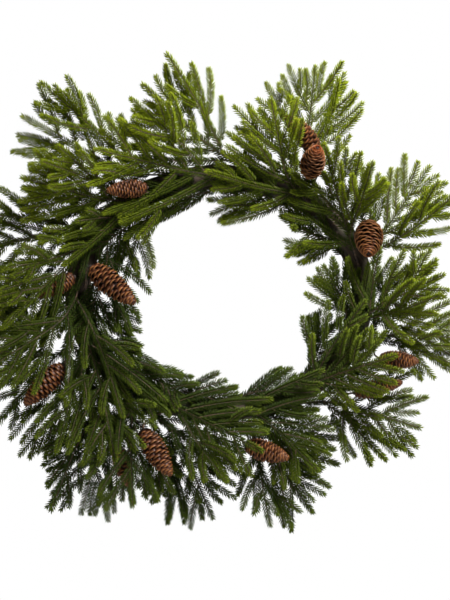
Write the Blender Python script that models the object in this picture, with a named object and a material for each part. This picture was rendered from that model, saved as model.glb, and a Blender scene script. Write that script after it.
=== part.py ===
"""A fresh evergreen wreath: spruce sprays and cones wired to a ring of twisted vine.

The wreath hangs upright in the XZ plane with its front towards -Y. The origin is
where the hook or nail carries it, inside the top of the vine ring.
"""

import math

import bmesh
import bpy
import numpy as np
from mathutils import Matrix, Vector
from mathutils.bvhtree import BVHTree
from mathutils.kdtree import KDTree

NAME = "evergreen_wreath"
SEED = 20
GAP = 0.0003                 # clearance that pieces keep where they touch
FRONT = np.array((0.0, -1.0, 0.0))

# Vine ring: a slightly oval rope of vine
RING_HALF_WIDTH = 0.236
RING_HALF_HEIGHT = 0.193
VINE_RADIUS = 0.021          # to the crests of the strands
STRAND_DEPTH = 0.0035        # how deep the valleys between strands are
STRANDS = 5
STRAND_TURNS = 3
RING_CENTRE_Z = -(RING_HALF_HEIGHT - VINE_RADIUS)

# Binding wire: one turn at each station
STATIONS = 12
CROWDING = 0.20              # how much closer the turns are on the left than on the right
CROWDED_SIDE = math.radians(190)
WIRE_RADIUS = 0.0008
WIRE_SLACK = 0.0006          # how far the wire clears the stems that it lies over
WIRE_BACK_LIFT = 0.003       # how far the wire's flats behind stand off the bark

# Sprays
STEM_RADIUS = 0.0019
STEM_LIFT = VINE_RADIUS + GAP + STEM_RADIUS    # stem centre from the ring's centre line
TAIL_ANGLE = math.radians(16)                  # bare stem that lies under the wire
NEEDLE_LENGTH = 0.011
NEEDLE_REACH = 0.0078        # how far needles stand off the middle of a twig
MAIN_POINTS = 20
TAIL_POINTS = 5
TWIGS = 10
TWIG_POINTS = 8
TWIG_LENGTH = 0.112
TWIG_SPREAD = math.radians(35)
BUILT_TWIGS = (0, 1, 4, 5, 8)  # the finished look has all of them
NEEDLED_SEGMENT = 0.021      # length of a core's facets where needles stand
BEND_ROOM = 0.0045           # room kept round a stem where it bends away from the wire
FOOT_ROOM = 0.0035           # room kept round a side twig's foot
RING_ROOM = VINE_RADIUS + NEEDLE_REACH + 0.003   # from the ring's centre line to a twig's
NEEDLE_SLACK = 0.0015        # between the needles of neighbouring twigs

# Sprays of a row lean a little further out and in by turns
SWAY = {"outer": math.radians(7), "front": math.radians(20), "inner": math.radians(4)}

# The opening in the middle, kept free of foliage
HOLE_HALF_WIDTH = 0.098
HOLE_HALF_HEIGHT = 0.110
HOLE_MARGIN = 0.014
GROWN_APART = 0.026          # points of one spray further apart than this may not meet
BACK_LIMIT = 0.030           # the wall behind, with room for the needles
FRONT_LIMIT = -0.125

# Three rows of sprays: side of the ring, lean away from the ring's run, pitch
# towards the front, length of stem past the wire
ROWS = {
    "outer": (math.radians(35), math.radians(46), math.radians(5), 0.220),
    "front": (math.radians(90), math.radians(24), math.radians(17), 0.215),
    "inner": (math.radians(145), math.radians(-20), math.radians(5), 0.155),
}

# Cones: angle round the ring and distance out from its centre line, heading in the
# front view, tip towards the front, distance in front, length, width, then the gap
# between wire turns and the side of the ring where the stalk is seated
CONES = (
    (65, 0.096, 133, 8, 0.052, 0.084, 0.037, 1, 25),
    (58, 0.060, 73, 52, 0.088, 0.080, 0.041, 1, 70),
    (23, 0.030, -94, 50, 0.066, 0.085, 0.048, 0, 62),
    (338, 0.083, -3, 8, 0.058, 0.070, 0.033, 11, 45),
    (327, 0.079, 13, 10, 0.050, 0.088, 0.030, 10, 62),
    (285, 0.074, -17, 8, 0.066, 0.080, 0.037, 9, 62),
    (250, 0.082, -58, 8, 0.072, 0.094, 0.041, 8, 70),
    (242, 0.124, -71, 5, 0.046, 0.075, 0.031, 8, 25),
    (209, 0.099, -135, 5, 0.062, 0.098, 0.040, 6, 62),
    (173, -0.058, -39, 15, 0.062, 0.104, 0.043, 5, 118),
    (127, 0.021, -176, 10, 0.066, 0.072, 0.032, 3, 62),
    (177, 0.035, -152, 5, 0.048, 0.075, 0.033, 5, 45),
)
SCALES_ROUND = 8
SCALE_ROWS = 7
STALK_RADIUS = 0.0018

# Tendrils: angle round the ring, rise towards the middle and forward shift in mm
TENDRILS = (
    ((-103, -3, 2), (-102.5, 7, 3), (-100, 14, 4), (-97, 13, 4), (-97, 7, 6), (-99.5, 5, 7)),
    ((-90.5, -3, 4), (-90, 9, 4), (-88, 16, 4), (-84, 12, 3), (-82, -3, 2)),
    ((-73, -3, 0), (-71, 8, 1), (-67, 12, 1), (-62, 20, 3), (-58, 27, 5)),
    ((-120, -3, 0), (-121, 10, 1), (-124, 17, 2), (-128, 14, 3)),
    ((-93.5, -3, 3), (-93.8, 6, 4), (-94.4, 12, 4)),
)
TENDRIL_RADIUS = 0.0011

COLOURS = {
    "vine": ((0.09, 0.055, 0.03), 0.85, 0.0),
    "wire": ((0.06, 0.09, 0.05), 0.45, 0.8),
    "cone": ((0.27, 0.10, 0.045), 0.6, 0.0),
    "outer": ((0.10, 0.19, 0.035), 0.6, 0.0),
    "front": ((0.13, 0.23, 0.04), 0.6, 0.0),
    "inner": ((0.08, 0.16, 0.035), 0.6, 0.0),
}


# ---------------------------------------------------------------- the ring's frame

def ring_centre(angle):
    """A point on the ring's oval centre line, in the XZ plane."""
    return np.array((
        RING_HALF_WIDTH * math.cos(angle),
        0.0,
        RING_CENTRE_Z + RING_HALF_HEIGHT * math.sin(angle),
    ))


def ring_outward(angle):
    """The direction away from the middle, square to the ring's run."""
    out = np.array((RING_HALF_HEIGHT * math.cos(angle), 0.0, RING_HALF_WIDTH * math.sin(angle)))
    return out / np.linalg.norm(out)


def ring_tangent(angle):
    """The ring's run, anticlockwise as seen from the front."""
    run = np.array((-RING_HALF_WIDTH * math.sin(angle), 0.0, RING_HALF_HEIGHT * math.cos(angle)))
    return run / np.linalg.norm(run)


def station_angle(turns):
    """Angle round the ring after a number of turns of wire."""
    even = turns * math.tau / STATIONS
    return even - CROWDING * math.sin(even - CROWDED_SIDE)


def ring_side(angle, side):
    """The direction from the centre line to a side: 0 outward, a quarter turn to the front."""
    return math.cos(side) * ring_outward(angle) + math.sin(side) * FRONT


def ring_point(angle, side, lift):
    """A point at a distance of lift from the centre line."""
    return ring_centre(angle) + lift * ring_side(angle, side)


# ---------------------------------------------------------------- spray layout

def unit(vector):
    return vector / np.linalg.norm(vector)


def smooth(value):
    value = min(1.0, max(0.0, value))
    return value * value * (3.0 - 2.0 * value)


def row_lean(row, angle, lean):
    """How far a row leans away from the ring's run at an angle round the ring."""
    if row == "inner":
        facing_right = max(0.0, math.cos(angle + math.radians(10)))
        facing_down = max(0.0, -math.sin(angle))
        return lean + math.radians(30) * facing_down ** 4 - math.radians(32) * facing_right ** 2
    if row == "outer":
        return lean + math.radians(8) * math.cos(angle + math.radians(20))
    return lean


def row_size(row, angle):
    """Sprays are longest on the left and at the top, shortest on the right inside."""
    size = 1.0 + 0.12 * math.cos(angle - math.radians(150))
    if row == "inner":
        size -= 0.16 * max(0.0, math.cos(angle)) + 0.25 * max(0.0, -math.sin(angle)) ** 2
    return size


def main_stem(row, station, rng):
    """Rest points of a spray's main stem: a tail under the wire, then a leaning run."""
    side, lean, pitch, length = ROWS[row]
    wire_angle = station_angle(station + side / math.tau)
    leave = wire_angle + TAIL_ANGLE * rng.uniform(0.40, 0.60)
    lean = row_lean(row, leave, lean) + SWAY[row] * (1 if station % 2 else -1)
    lean += math.radians(rng.uniform(-8, 8))
    pitch = pitch + math.radians(rng.uniform(-4, 6))
    length = length * row_size(row, leave) * rng.uniform(0.92, 1.10)

    points = []
    for step in range(TAIL_POINTS):
        back = TAIL_ANGLE * (1.0 - step / (TAIL_POINTS - 1))
        points.append(ring_point(leave - back, side, STEM_LIFT))

    run = ring_tangent(leave)
    across = ring_outward(leave)
    level = math.cos(lean) * run + math.sin(lean) * across
    final = unit(math.cos(pitch) * level + math.sin(pitch) * FRONT)
    start = unit(run + 0.35 * ring_side(leave, side))
    steps = MAIN_POINTS - TAIL_POINTS
    for step in range(steps):
        blend = smooth((step + 1) / (0.55 * steps))
        heading = unit((1.0 - blend) * start + blend * final)
        points.append(points[-1] + heading * length / steps)
    return np.array(points)


def side_twigs(stem, rng):
    """Rest points of the side twigs, alternately left and right of a main stem."""
    roll = math.radians(rng.uniform(-22, 22)) + math.radians(14)
    stem_size = np.linalg.norm(stem[-1] - stem[TAIL_POINTS]) / 0.18
    attach = []
    twigs = []
    first = TAIL_POINTS + 1
    for number in range(TWIGS):
        share = number / (TWIGS - 1)
        node = first + round(share * (MAIN_POINTS - 5 - first))
        heading = unit(stem[node + 1] - stem[node - 1])
        flat = unit(np.cross(heading, FRONT))
        lift = np.cross(flat, heading)
        sideways = math.cos(roll) * flat + math.sin(roll) * lift
        hand = 1.0 if number % 2 else -1.0
        length = TWIG_LENGTH * stem_size * (1.0 - 0.42 * share) * rng.uniform(0.88, 1.12)
        spread = TWIG_SPREAD + math.radians(rng.uniform(-7, 9))
        points = [stem[node]]
        for step in range(TWIG_POINTS - 1):
            turn = spread * (1.12 - 0.35 * step / (TWIG_POINTS - 1))
            direction = math.cos(turn) * heading + hand * math.sin(turn) * sideways
            points.append(points[-1] + direction * length / (TWIG_POINTS - 1))
        attach.append(node)
        twigs.append(points)
    return attach, twigs


def rest_layout():
    """Names, main stems and side twigs of every spray before they make room."""
    rng = np.random.default_rng(SEED)
    names, stems, attach, twigs = [], [], [], []
    for row in ROWS:
        for station in range(STATIONS):
            stem = main_stem(row, station, rng)
            nodes, shoots = side_twigs(stem, rng)
            names.append(f"spray_{row}_{station + 1:02d}")
            stems.append(stem)
            attach.append(nodes)
            twigs.append(shoots)
    return names, np.array(stems), np.array(attach), np.array(twigs)


# ---------------------------------------------------------------- cones' places

def cone_axis(cone):
    """Base, tip and seat of a cone: its body's two ends and where its stalk meets the ring."""
    angle, distance, heading, pitch, forward, length = cone[:6]
    angle, heading, pitch = (math.radians(value) for value in (angle, heading, pitch))
    middle = ring_centre(angle) + distance * ring_outward(angle) + forward * FRONT
    level = np.array((math.cos(heading), 0.0, math.sin(heading)))
    axis = math.cos(pitch) * level + math.sin(pitch) * FRONT
    return middle - 0.5 * length * axis, middle + 0.5 * length * axis


def cone_seat(cone):
    """Angle round the ring and side where a cone's stalk meets the ring."""
    slot, side = cone[7:]
    return station_angle(slot + 0.5 + side / 360), math.radians(side)


def stalk_points(cone, lift):
    """A cone's stalk from its seat on the ring to just inside the cone's base."""
    base, tip = cone_axis(cone)
    angle, side = cone_seat(cone)
    seat = ring_point(angle, side, lift)
    axis = unit(tip - base)
    reach = np.linalg.norm(base - seat)
    leave = seat + ring_side(angle, side) * 0.35 * reach
    arrive = base - axis * 0.30 * reach
    points = []
    for step in range(6):
        share = step / 5
        keep = 1.0 - share
        points.append(
            keep ** 3 * seat + 3 * keep ** 2 * share * leave
            + 3 * keep * share ** 2 * arrive + share ** 3 * (base + axis * 0.008)
        )
    return np.array(points)


# ---------------------------------------------------------------- tendrils' places

def tendril_points(places, count=8):
    """A soft curve through a tendril's own places on the inner side of the ring."""
    knots = []
    for angle, rise, forward in places:
        base = ring_point(math.radians(angle), math.pi, VINE_RADIUS)
        inward = -ring_outward(math.radians(angle))
        knots.append(base + 0.001 * (rise * inward + forward * FRONT))
    knots = [2 * knots[0] - knots[1]] + knots + [2 * knots[-1] - knots[-2]]
    points = []
    spans = len(knots) - 3
    for number in range(count):
        place = number / (count - 1) * spans
        span = min(int(place), spans - 1)
        t = place - span
        a, b, c, d = knots[span:span + 4]
        points.append(0.5 * (
            2 * b + (c - a) * t + (2 * a - 5 * b + 4 * c - d) * t ** 2
            + (3 * b - a - 3 * c + d) * t ** 3
        ))
    return points


# ---------------------------------------------------------------- making room

def capsule_push(points, start, end, radius):
    """Moves that take points out of a capsule."""
    run = end - start
    share = np.clip(((points - start) @ run) / (run @ run), 0.0, 1.0)
    away = points - (start + share[:, None] * run)
    distance = np.sqrt((away * away).sum(axis=1)) + 1e-9
    return away * (np.maximum(0.0, radius - distance) / distance)[:, None]


def ring_push(points, clearance):
    """Moves that take points off the ring."""
    angle = np.arctan2(
        (points[:, 2] - RING_CENTRE_Z) / RING_HALF_HEIGHT, points[:, 0] / RING_HALF_WIDTH
    )
    centre = np.zeros_like(points)
    centre[:, 0] = RING_HALF_WIDTH * np.cos(angle)
    centre[:, 2] = RING_CENTRE_Z + RING_HALF_HEIGHT * np.sin(angle)
    away = points - centre
    distance = np.sqrt((away * away).sum(axis=1)) + 1e-9
    return away * (np.maximum(0.0, clearance - distance) / distance)[:, None]


def hole_push(points, margin):
    """Moves that take points out of the opening in the middle, by the nearest side."""
    across = points[:, 0]
    up = points[:, 2] - RING_CENTRE_Z
    in_x = HOLE_HALF_WIDTH + margin - np.abs(across)
    in_z = HOLE_HALF_HEIGHT + margin - np.abs(up)
    inside = (in_x > 0.0) & (in_z > 0.0)
    moves = np.zeros_like(points)
    sideways = inside & (in_x < in_z)
    upward = inside & (in_x >= in_z)
    moves[sideways, 0] = np.sign(across[sideways]) * in_x[sideways]
    moves[upward, 2] = np.sign(up[upward]) * in_z[upward]
    return moves


def near_pairs(points, owner, rest, reach):
    """Pairs of points within reach of each other, on different sprays or grown apart."""
    tree = KDTree(len(points))
    for index, point in enumerate(points):
        tree.insert(point, index)
    tree.balance()
    first, second = [], []
    for index, point in enumerate(points):
        for _, other, _ in tree.find_range(point, reach):
            if other <= index:
                continue
            grown_apart = np.abs(rest[other] - rest[index]).sum() > GROWN_APART
            if owner[other] != owner[index] or grown_apart:
                first.append(index)
                second.append(other)
    return np.array(first), np.array(second)


def point_sizes(stems, twigs):
    """The radius that each point keeps free: slim on bare stem, wider among needles."""
    stem_size = np.full(stems.shape[:2], NEEDLE_REACH)
    stem_size[:, :TAIL_POINTS] = STEM_RADIUS + WIRE_RADIUS
    stem_size[:, TAIL_POINTS] = BEND_ROOM
    twig_size = np.full(twigs.shape[:3], 0.5 * NEEDLE_REACH)
    twig_size[:, BUILT_TWIGS] = NEEDLE_REACH
    twig_size[:, :, 0] = FOOT_ROOM
    return np.concatenate((stem_size.reshape(-1), twig_size.reshape(-1)))


def make_room(stems, attach, twigs, steps=300):
    """Bends sprays until they are clear of each other, the ring, the cones and the opening."""
    count = len(stems)
    rest = stems.copy()
    before = np.concatenate((stems.reshape(-1, 3), twigs.reshape(-1, 3)))
    rest_twigs = twigs - twigs[:, :, :1]
    stem_step = np.linalg.norm(np.diff(stems, axis=1), axis=2)
    twig_step = np.linalg.norm(np.diff(twigs, axis=2), axis=3)
    shift = np.zeros_like(stems)
    bend = np.zeros_like(rest_twigs)
    size = point_sizes(stems, twigs)
    rows = np.arange(count)[:, None]
    owner = np.concatenate((
        np.repeat(np.arange(count), MAIN_POINTS),
        np.repeat(np.arange(count), TWIGS * TWIG_POINTS),
    ))
    split = count * MAIN_POINTS
    clearance = np.full((count, MAIN_POINTS), RING_ROOM)
    clearance[:, :TAIL_POINTS] = 0.0
    clearance[:, TAIL_POINTS] = STEM_LIFT
    clearance[:, TAIL_POINTS + 1] = STEM_LIFT + 0.004
    clearance = np.concatenate((
        clearance.reshape(-1), np.full(count * TWIGS * TWIG_POINTS, RING_ROOM)
    ))
    bodies = []
    for cone in CONES:
        base, tip = cone_axis(cone)
        inset = unit(tip - base) * cone[6] * 0.4
        bodies.append((base + inset, tip - inset, 0.5 * cone[6]))
        stalk = stalk_points(cone, STEM_LIFT)
        for start, end in zip(stalk[:-2], stalk[1:-1]):
            bodies.append((start, end, STALK_RADIUS + GAP))
    for places in TENDRILS:
        vine = tendril_points(places)
        for start, end in zip(vine[1:-1], vine[2:]):
            bodies.append((start, end, TENDRIL_RADIUS))

    for step in range(steps):
        grown = min(1.0, 0.55 + 0.6 * step / steps)
        stems = rest + shift
        for node in range(TAIL_POINTS, MAIN_POINTS):
            run = stems[:, node] - stems[:, node - 1]
            run *= (stem_step[:, node - 1] / np.linalg.norm(run, axis=1))[:, None]
            stems[:, node] = stems[:, node - 1] + run
        roots = stems[rows, attach]
        twigs = roots[:, :, None] + rest_twigs + bend
        for node in range(1, TWIG_POINTS):
            run = twigs[:, :, node] - twigs[:, :, node - 1]
            run *= (twig_step[:, :, node - 1] / np.linalg.norm(run, axis=2))[:, :, None]
            twigs[:, :, node] = twigs[:, :, node - 1] + run
        shift = stems - rest
        bend = twigs - roots[:, :, None] - rest_twigs
        points = np.concatenate((stems.reshape(-1, 3), twigs.reshape(-1, 3)))
        if step == steps - 1:
            break
        if step % 6 == 0:
            first, second = near_pairs(points, owner, before, 2.0 * NEEDLE_REACH + 0.010)

        apart = points[first] - points[second]
        apart[:, 1] *= 1.6
        length = np.sqrt((apart * apart).sum(axis=1)) + 1e-9
        real = np.sqrt(((points[first] - points[second]) ** 2).sum(axis=1))
        need = (size[first] + size[second] + NEEDLE_SLACK) * grown - real
        push = apart * (0.5 * np.maximum(0.0, need) / length)[:, None]
        moves = np.zeros_like(points)
        hits = np.zeros(len(points))
        touching = need > 0.0
        for axis in range(3):
            moves[:, axis] += np.bincount(first, push[:, axis], len(points))
            moves[:, axis] -= np.bincount(second, push[:, axis], len(points))
        hits += np.bincount(first, touching, len(points))
        hits += np.bincount(second, touching, len(points))
        moves /= np.maximum(1.0, 0.6 * hits)[:, None]

        moves += 0.7 * ring_push(points, clearance)
        for start, end, radius in bodies:
            moves += 0.9 * capsule_push(points, start, end, (radius + size) * grown)
        moves += 0.5 * hole_push(points, HOLE_MARGIN)
        moves[:, 1] += 0.5 * np.minimum(0.0, BACK_LIMIT - points[:, 1])
        moves[:, 1] += 0.5 * np.maximum(0.0, FRONT_LIMIT - points[:, 1])

        stem_moves = moves[:split].reshape(stems.shape)
        twig_moves = moves[split:].reshape(twigs.shape)
        carried = 0.25 * twig_moves.mean(axis=2)
        for number in range(TWIGS):
            stem_moves[rows[:, 0], attach[:, number]] += carried[:, number]
        shift = shift * 0.997 + stem_moves
        bend = bend * 0.995 + twig_moves
        shift[:, :TAIL_POINTS] = 0.0
        bend[:, :, 0] = 0.0
        for _ in range(2):
            middle = 0.5 * shift[:, TAIL_POINTS:-1]
            middle += 0.25 * (shift[:, TAIL_POINTS - 1:-2] + shift[:, TAIL_POINTS + 1:])
            shift[:, TAIL_POINTS:-1] = middle
            shift[:, -1] = 0.5 * shift[:, -1] + 0.5 * (2.0 * shift[:, -2] - shift[:, -3])
            middle = 0.5 * bend[:, :, 1:-1] + 0.25 * (bend[:, :, :-2] + bend[:, :, 2:])
            bend[:, :, 1:-1] = middle
            bend[:, :, -1] = 0.5 * bend[:, :, -1] + 0.5 * (2.0 * bend[:, :, -2] - bend[:, :, -3])
    short = need[need > 0.0]
    print(f"pairs still close: {len(short)}, worst {1000 * need.max():.1f} mm")
    return stems, twigs


# ---------------------------------------------------------------- mesh helpers

def collection(name):
    made = bpy.data.collections.new(name)
    bpy.context.scene.collection.children.link(made)
    return made


def material(name):
    colour, roughness, metallic = COLOURS[name]
    made = bpy.data.materials.new(name)
    made.use_nodes = True
    made.diffuse_color = (*colour, 1.0)
    shader = made.node_tree.nodes["Principled BSDF"]
    shader.inputs["Base Color"].default_value = (*colour, 1.0)
    shader.inputs["Roughness"].default_value = roughness
    shader.inputs["Metallic"].default_value = metallic
    return made


def mesh_object(name, bm, home):
    bmesh.ops.recalc_face_normals(bm, faces=bm.faces)
    mesh = bpy.data.meshes.new(name)
    bm.to_mesh(mesh)
    bm.free()
    made = bpy.data.objects.new(name, mesh)
    home.objects.link(made)
    return made


def tube_object(name, points, radius, home, closed=False):
    """A slim tube as a welded mesh."""
    curve = bpy.data.curves.new(name, "CURVE")
    curve.dimensions = "3D"
    curve.bevel_depth = radius
    curve.bevel_resolution = 0
    curve.use_fill_caps = True
    line = curve.splines.new("POLY")
    line.points.add(len(points) - 1)
    for point, place in zip(line.points, points):
        point.co = (*place, 1.0)
    line.use_cyclic_u = closed
    guide = bpy.data.objects.new(name + "_guide", curve)
    home.objects.link(guide)
    ready = guide.evaluated_get(bpy.context.evaluated_depsgraph_get())
    bm = bmesh.new()
    shape = bpy.data.meshes.new_from_object(ready)
    bm.from_mesh(shape)
    bmesh.ops.remove_doubles(bm, verts=bm.verts, dist=0.00001)
    bpy.data.objects.remove(guide)
    bpy.data.meshes.remove(shape)
    return mesh_object(name, bm, home)


def fuse(base, extras):
    """Joins a collection of objects to a base object, then removes them."""
    join = base.modifiers.new("join", "BOOLEAN")
    join.operation = "UNION"
    join.operand_type = "COLLECTION"
    join.collection = extras
    join.solver = "MANIFOLD"
    ready = base.evaluated_get(bpy.context.evaluated_depsgraph_get())
    joined = bpy.data.meshes.new_from_object(ready)
    base.modifiers.clear()
    base.data = joined
    for extra in list(extras.objects):
        bpy.data.objects.remove(extra)
    bpy.data.collections.remove(extras)


def surface(thing):
    """A search tree of an object's faces."""
    bm = bmesh.new()
    bm.from_mesh(thing.data)
    tree = BVHTree.FromBMesh(bm)
    bm.free()
    return tree


def edge_samples(mesh, spacing=0.0015):
    """Points along a mesh's edges."""
    samples = []
    for edge in mesh.edges:
        start, end = (mesh.vertices[index].co for index in edge.vertices)
        steps = max(1, round((end - start).length / spacing))
        for step in range(steps + 1):
            samples.append(start.lerp(end, step / steps))
    return samples


def closest(samples, tree, reach=0.02):
    """The least distance from sample points to a surface."""
    found = [tree.find_nearest(point, reach)[3] for point in samples]
    return min((distance for distance in found if distance is not None), default=reach)


# ---------------------------------------------------------------- the vine ring

def strand_lift(angle, side):
    """Distance from centre line to bark: rounded strands that wind round each other."""
    wave = abs(math.cos(0.5 * STRANDS * (side - STRAND_TURNS * angle)))
    knots = 0.0006 * math.sin(7 * angle + 2 * side) * math.sin(11 * angle)
    return VINE_RADIUS - STRAND_DEPTH * (1.0 - wave) - 0.0006 + knots


def build_ring(parts):
    around = 48
    section = 3 * STRANDS
    bpy.ops.mesh.primitive_torus_add(
        major_segments=around, minor_segments=section, major_radius=1.0, minor_radius=0.2
    )
    ring = bpy.context.object
    ring.name = "vine_ring"
    for vertex in ring.data.vertices:
        x, y, z = vertex.co
        angle = math.atan2(y, x)
        side = math.atan2(z, math.hypot(x, y) - 1.0) + STRAND_TURNS * angle
        vertex.co = ring_point(angle, side, strand_lift(angle, side))
    for owner in ring.users_collection:
        owner.objects.unlink(ring)
    parts.objects.link(ring)
    bm = bmesh.new()
    bm.from_mesh(ring.data)
    bmesh.ops.recalc_face_normals(bm, faces=bm.faces)
    bmesh.ops.triangulate(bm, faces=bm.faces)
    bm.to_mesh(ring.data)
    bm.free()
    return ring


def add_tendrils(ring):
    extras = collection("tendrils")
    for number, places in enumerate(TENDRILS):
        tube_object(f"tendril_{number}", tendril_points(places), TENDRIL_RADIUS, extras)
    fuse(ring, extras)


# ---------------------------------------------------------------- the binding wire

def build_wire(parts, lift_over_stems, lift_on_ring):
    """A helix that lies over the stems in front and hugs the ring behind."""
    over = [math.degrees(side) for side, _, _, _ in ROWS.values()]
    behind = (187, 229, 270, 311, 353)
    places = sorted([(side, lift_over_stems) for side in over]
                    + [(side, lift_on_ring) for side in behind])
    points = []
    for turn in range(STATIONS):
        for side, lift in places:
            angle = station_angle(turn + side / 360)
            points.append(ring_point(angle, math.radians(side), lift))
    return tube_object("binding_wire", points[2:-2], WIRE_RADIUS, parts)


# ---------------------------------------------------------------- cones

def cone_radius(share):
    """A cone's outline, 0 at the base to 1 at the tip, as a share of its half width."""
    return math.sin(math.pi * share ** 0.80) ** 0.62


def build_cone(name, cone, parts):
    length, width = cone[5], cone[6]
    rows = 2 * SCALE_ROWS
    bm = bmesh.new()
    bmesh.ops.create_uvsphere(
        bm, u_segments=SCALES_ROUND, v_segments=rows + 1, radius=1.0
    )
    base, tip = (Vector(end) for end in cone_axis(cone))
    frame = (tip - base).to_track_quat("Z", "Y").to_matrix()
    half_step = math.pi / SCALES_ROUND
    for vertex in bm.verts:
        level = math.acos(max(-1.0, min(1.0, -vertex.co.z))) * (rows + 1) / math.pi
        row = round(level) - 1
        around = math.atan2(vertex.co.y, vertex.co.x)
        if row < 0:
            vertex.co = base
            continue
        if row >= rows:
            vertex.co = tip
            continue
        lip = row % 2
        share = (row // 2 + (0.98 if lip else 0.22)) / (SCALE_ROWS + 0.15)
        swell = 1.0 if lip else 0.78
        reach = 0.5 * width * cone_radius(share) * swell
        turn = around + half_step * ((row + 1) // 2)
        place = Vector((reach * math.cos(turn), reach * math.sin(turn), share * length))
        vertex.co = base + frame @ place
    bmesh.ops.recalc_face_normals(bm, faces=bm.faces)
    bmesh.ops.triangulate(bm, faces=bm.faces, quad_method="SHORT_EDGE")
    return mesh_object(name, bm, parts)


def seated_stalk(name, cone, ring_surface, extras):
    """A stalk whose end lies GAP from the ring."""
    lift = VINE_RADIUS + GAP
    for _ in range(6):
        stalk = tube_object(name, stalk_points(cone, lift), STALK_RADIUS, extras)
        gap = closest(edge_samples(stalk.data), ring_surface)
        if abs(gap - GAP) < 0.00003 and gap > 0.00005:
            return stalk
        inside = cone_end_sunk(cone, lift, ring_surface)
        lift += 0.002 if inside else GAP - gap
        bpy.data.objects.remove(stalk)
    return tube_object(name, stalk_points(cone, lift), STALK_RADIUS, extras)


def cone_end_sunk(cone, lift, ring_surface):
    """Whether a stalk's end point is inside the bark."""
    end = Vector(stalk_points(cone, lift)[0])
    spot, normal, _, _ = ring_surface.find_nearest(end)
    return (end - spot).dot(normal) < 0.0


def build_cones(parts, ring_surface):
    bark = material("cone")
    for number, cone in enumerate(CONES):
        name = f"cone_{number + 1:02d}"
        body = build_cone(name, cone, parts)
        extras = collection("stalk")
        seated_stalk("stalk", cone, ring_surface, extras)
        fuse(body, extras)
        body.data.materials.clear()
        body.data.materials.append(bark)


# ---------------------------------------------------------------- needled twigs

def ring_frame(points, index):
    """Place and heading of a twig's section."""
    before = points[max(0, index - 1)]
    after = points[min(len(points) - 1, index + 1)]
    heading = Vector(after - before).normalized()
    return Vector(points[index]), heading


def raise_needles(bm, faces, middle, heading, blocked):
    """Raises a needle from each face: outward and forward at its true length."""
    for face in faces:
        centre = face.calc_center_median()
        outward = centre - middle
        outward = (outward - outward.dot(heading) * heading).normalized()
        apex = centre + NEEDLE_LENGTH * (0.66 * outward + 0.75 * heading)
        if blocked(centre, apex):
            continue
        new = bmesh.ops.poke(bm, faces=[face])["verts"][0]
        new.co = apex


def grow(bm, loop, points, radii, needled_from, blocked, settled=True):
    """Draws a three-sided core from a loop of edges along points, with needles on it.

    Each section is the one before, swung to the new heading and turned a sixth of a
    turn, so that a stretch's six facets look six ways. A loop that isn't settled is a
    stem's facet, and its first section is laid out afresh. Returns the facets of each
    stretch between two points.
    """
    stretches = []
    last_place, last_heading = ring_frame(points, 0)
    for index in range(1, len(points)):
        grown = bmesh.ops.extrude_edge_only(bm, edges=loop)["geom"]
        verts = [item for item in grown if isinstance(item, bmesh.types.BMVert)]
        walls = [item for item in grown if isinstance(item, bmesh.types.BMFace)]
        ends = set(verts)
        loop = [item for item in grown if isinstance(item, bmesh.types.BMEdge)
                and set(item.verts) <= ends]
        place, heading = ring_frame(points, index)
        if settled:
            swing = last_heading.rotation_difference(heading).to_matrix().to_4x4()
            swing = Matrix.Rotation(math.pi / 3, 4, heading) @ swing
            size = Matrix.Scale(radii[index] / radii[index - 1], 4)
            move = Matrix.Translation(place) @ swing @ size @ Matrix.Translation(-last_place)
            bmesh.ops.transform(bm, matrix=move, verts=verts)
        else:
            settle_section(verts, place, heading, radii[index])
            settled = True
        last_place, last_heading = place, heading
        run = Vector(points[index] - points[index - 1]).normalized()
        stretches.append([facet for wall in walls for facet in split_wall(wall, run, ends)])
    cap = bmesh.ops.contextual_create(bm, geom=loop)["faces"][0]
    tip = bmesh.ops.poke(bm, faces=[cap])["verts"][0]
    tip.co = Vector(points[-1]) + 0.8 * NEEDLE_LENGTH * heading
    for index in range(needled_from, len(points)):
        middle = Vector(0.5 * (points[index] + points[index - 1]))
        run = Vector(points[index] - points[index - 1]).normalized()
        raise_needles(bm, stretches[index - 1][index % 2::2], middle, run, blocked)
    return stretches


def split_wall(wall, run, ends):
    """Splits a wall along the diagonal that turns least round the run.

    The facet with two of the far end's corners comes first.
    """
    a, b, c, d = wall.verts
    if (c.co - a.co).cross(run).length < (d.co - b.co).cross(run).length:
        half, _ = bmesh.utils.face_split(wall, a, c)
    else:
        half, _ = bmesh.utils.face_split(wall, b, d)
    return sorted((wall, half), key=lambda facet: -len(ends.intersection(facet.verts)))


def settle_section(verts, place, heading, radius):
    """Lays three corners in a ring square to the heading, each near where it was."""
    centre = sum((vertex.co for vertex in verts), Vector()) / len(verts)
    across = heading.orthogonal().normalized()
    up = heading.cross(across)
    turns = []
    for vertex in verts:
        offset = vertex.co - centre
        turns.append(math.atan2(offset.dot(up), offset.dot(across)))
    order = sorted(range(3), key=lambda corner: turns[corner])
    first = sum(turns[corner] - step * math.tau / 3 for step, corner in enumerate(order)) / 3
    for step, corner in enumerate(order):
        turn = first + step * math.tau / 3
        spot = math.cos(turn) * across + math.sin(turn) * up
        verts[corner].co = place + spot * radius


def start_loop(bm, points, radius):
    """The closed end of a core: three edges with a face over them."""
    place, heading = ring_frame(points, 0)
    across = heading.cross(Vector(FRONT)).normalized()
    face = Matrix((across, heading.cross(across), heading)).transposed().to_4x4()
    matrix = Matrix.Translation(place) @ face
    start = bmesh.ops.create_circle(bm, segments=3, radius=radius, matrix=matrix)
    loop = list({edge for vertex in start["verts"] for edge in vertex.link_edges})
    bmesh.ops.contextual_create(bm, geom=loop)
    return loop


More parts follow.
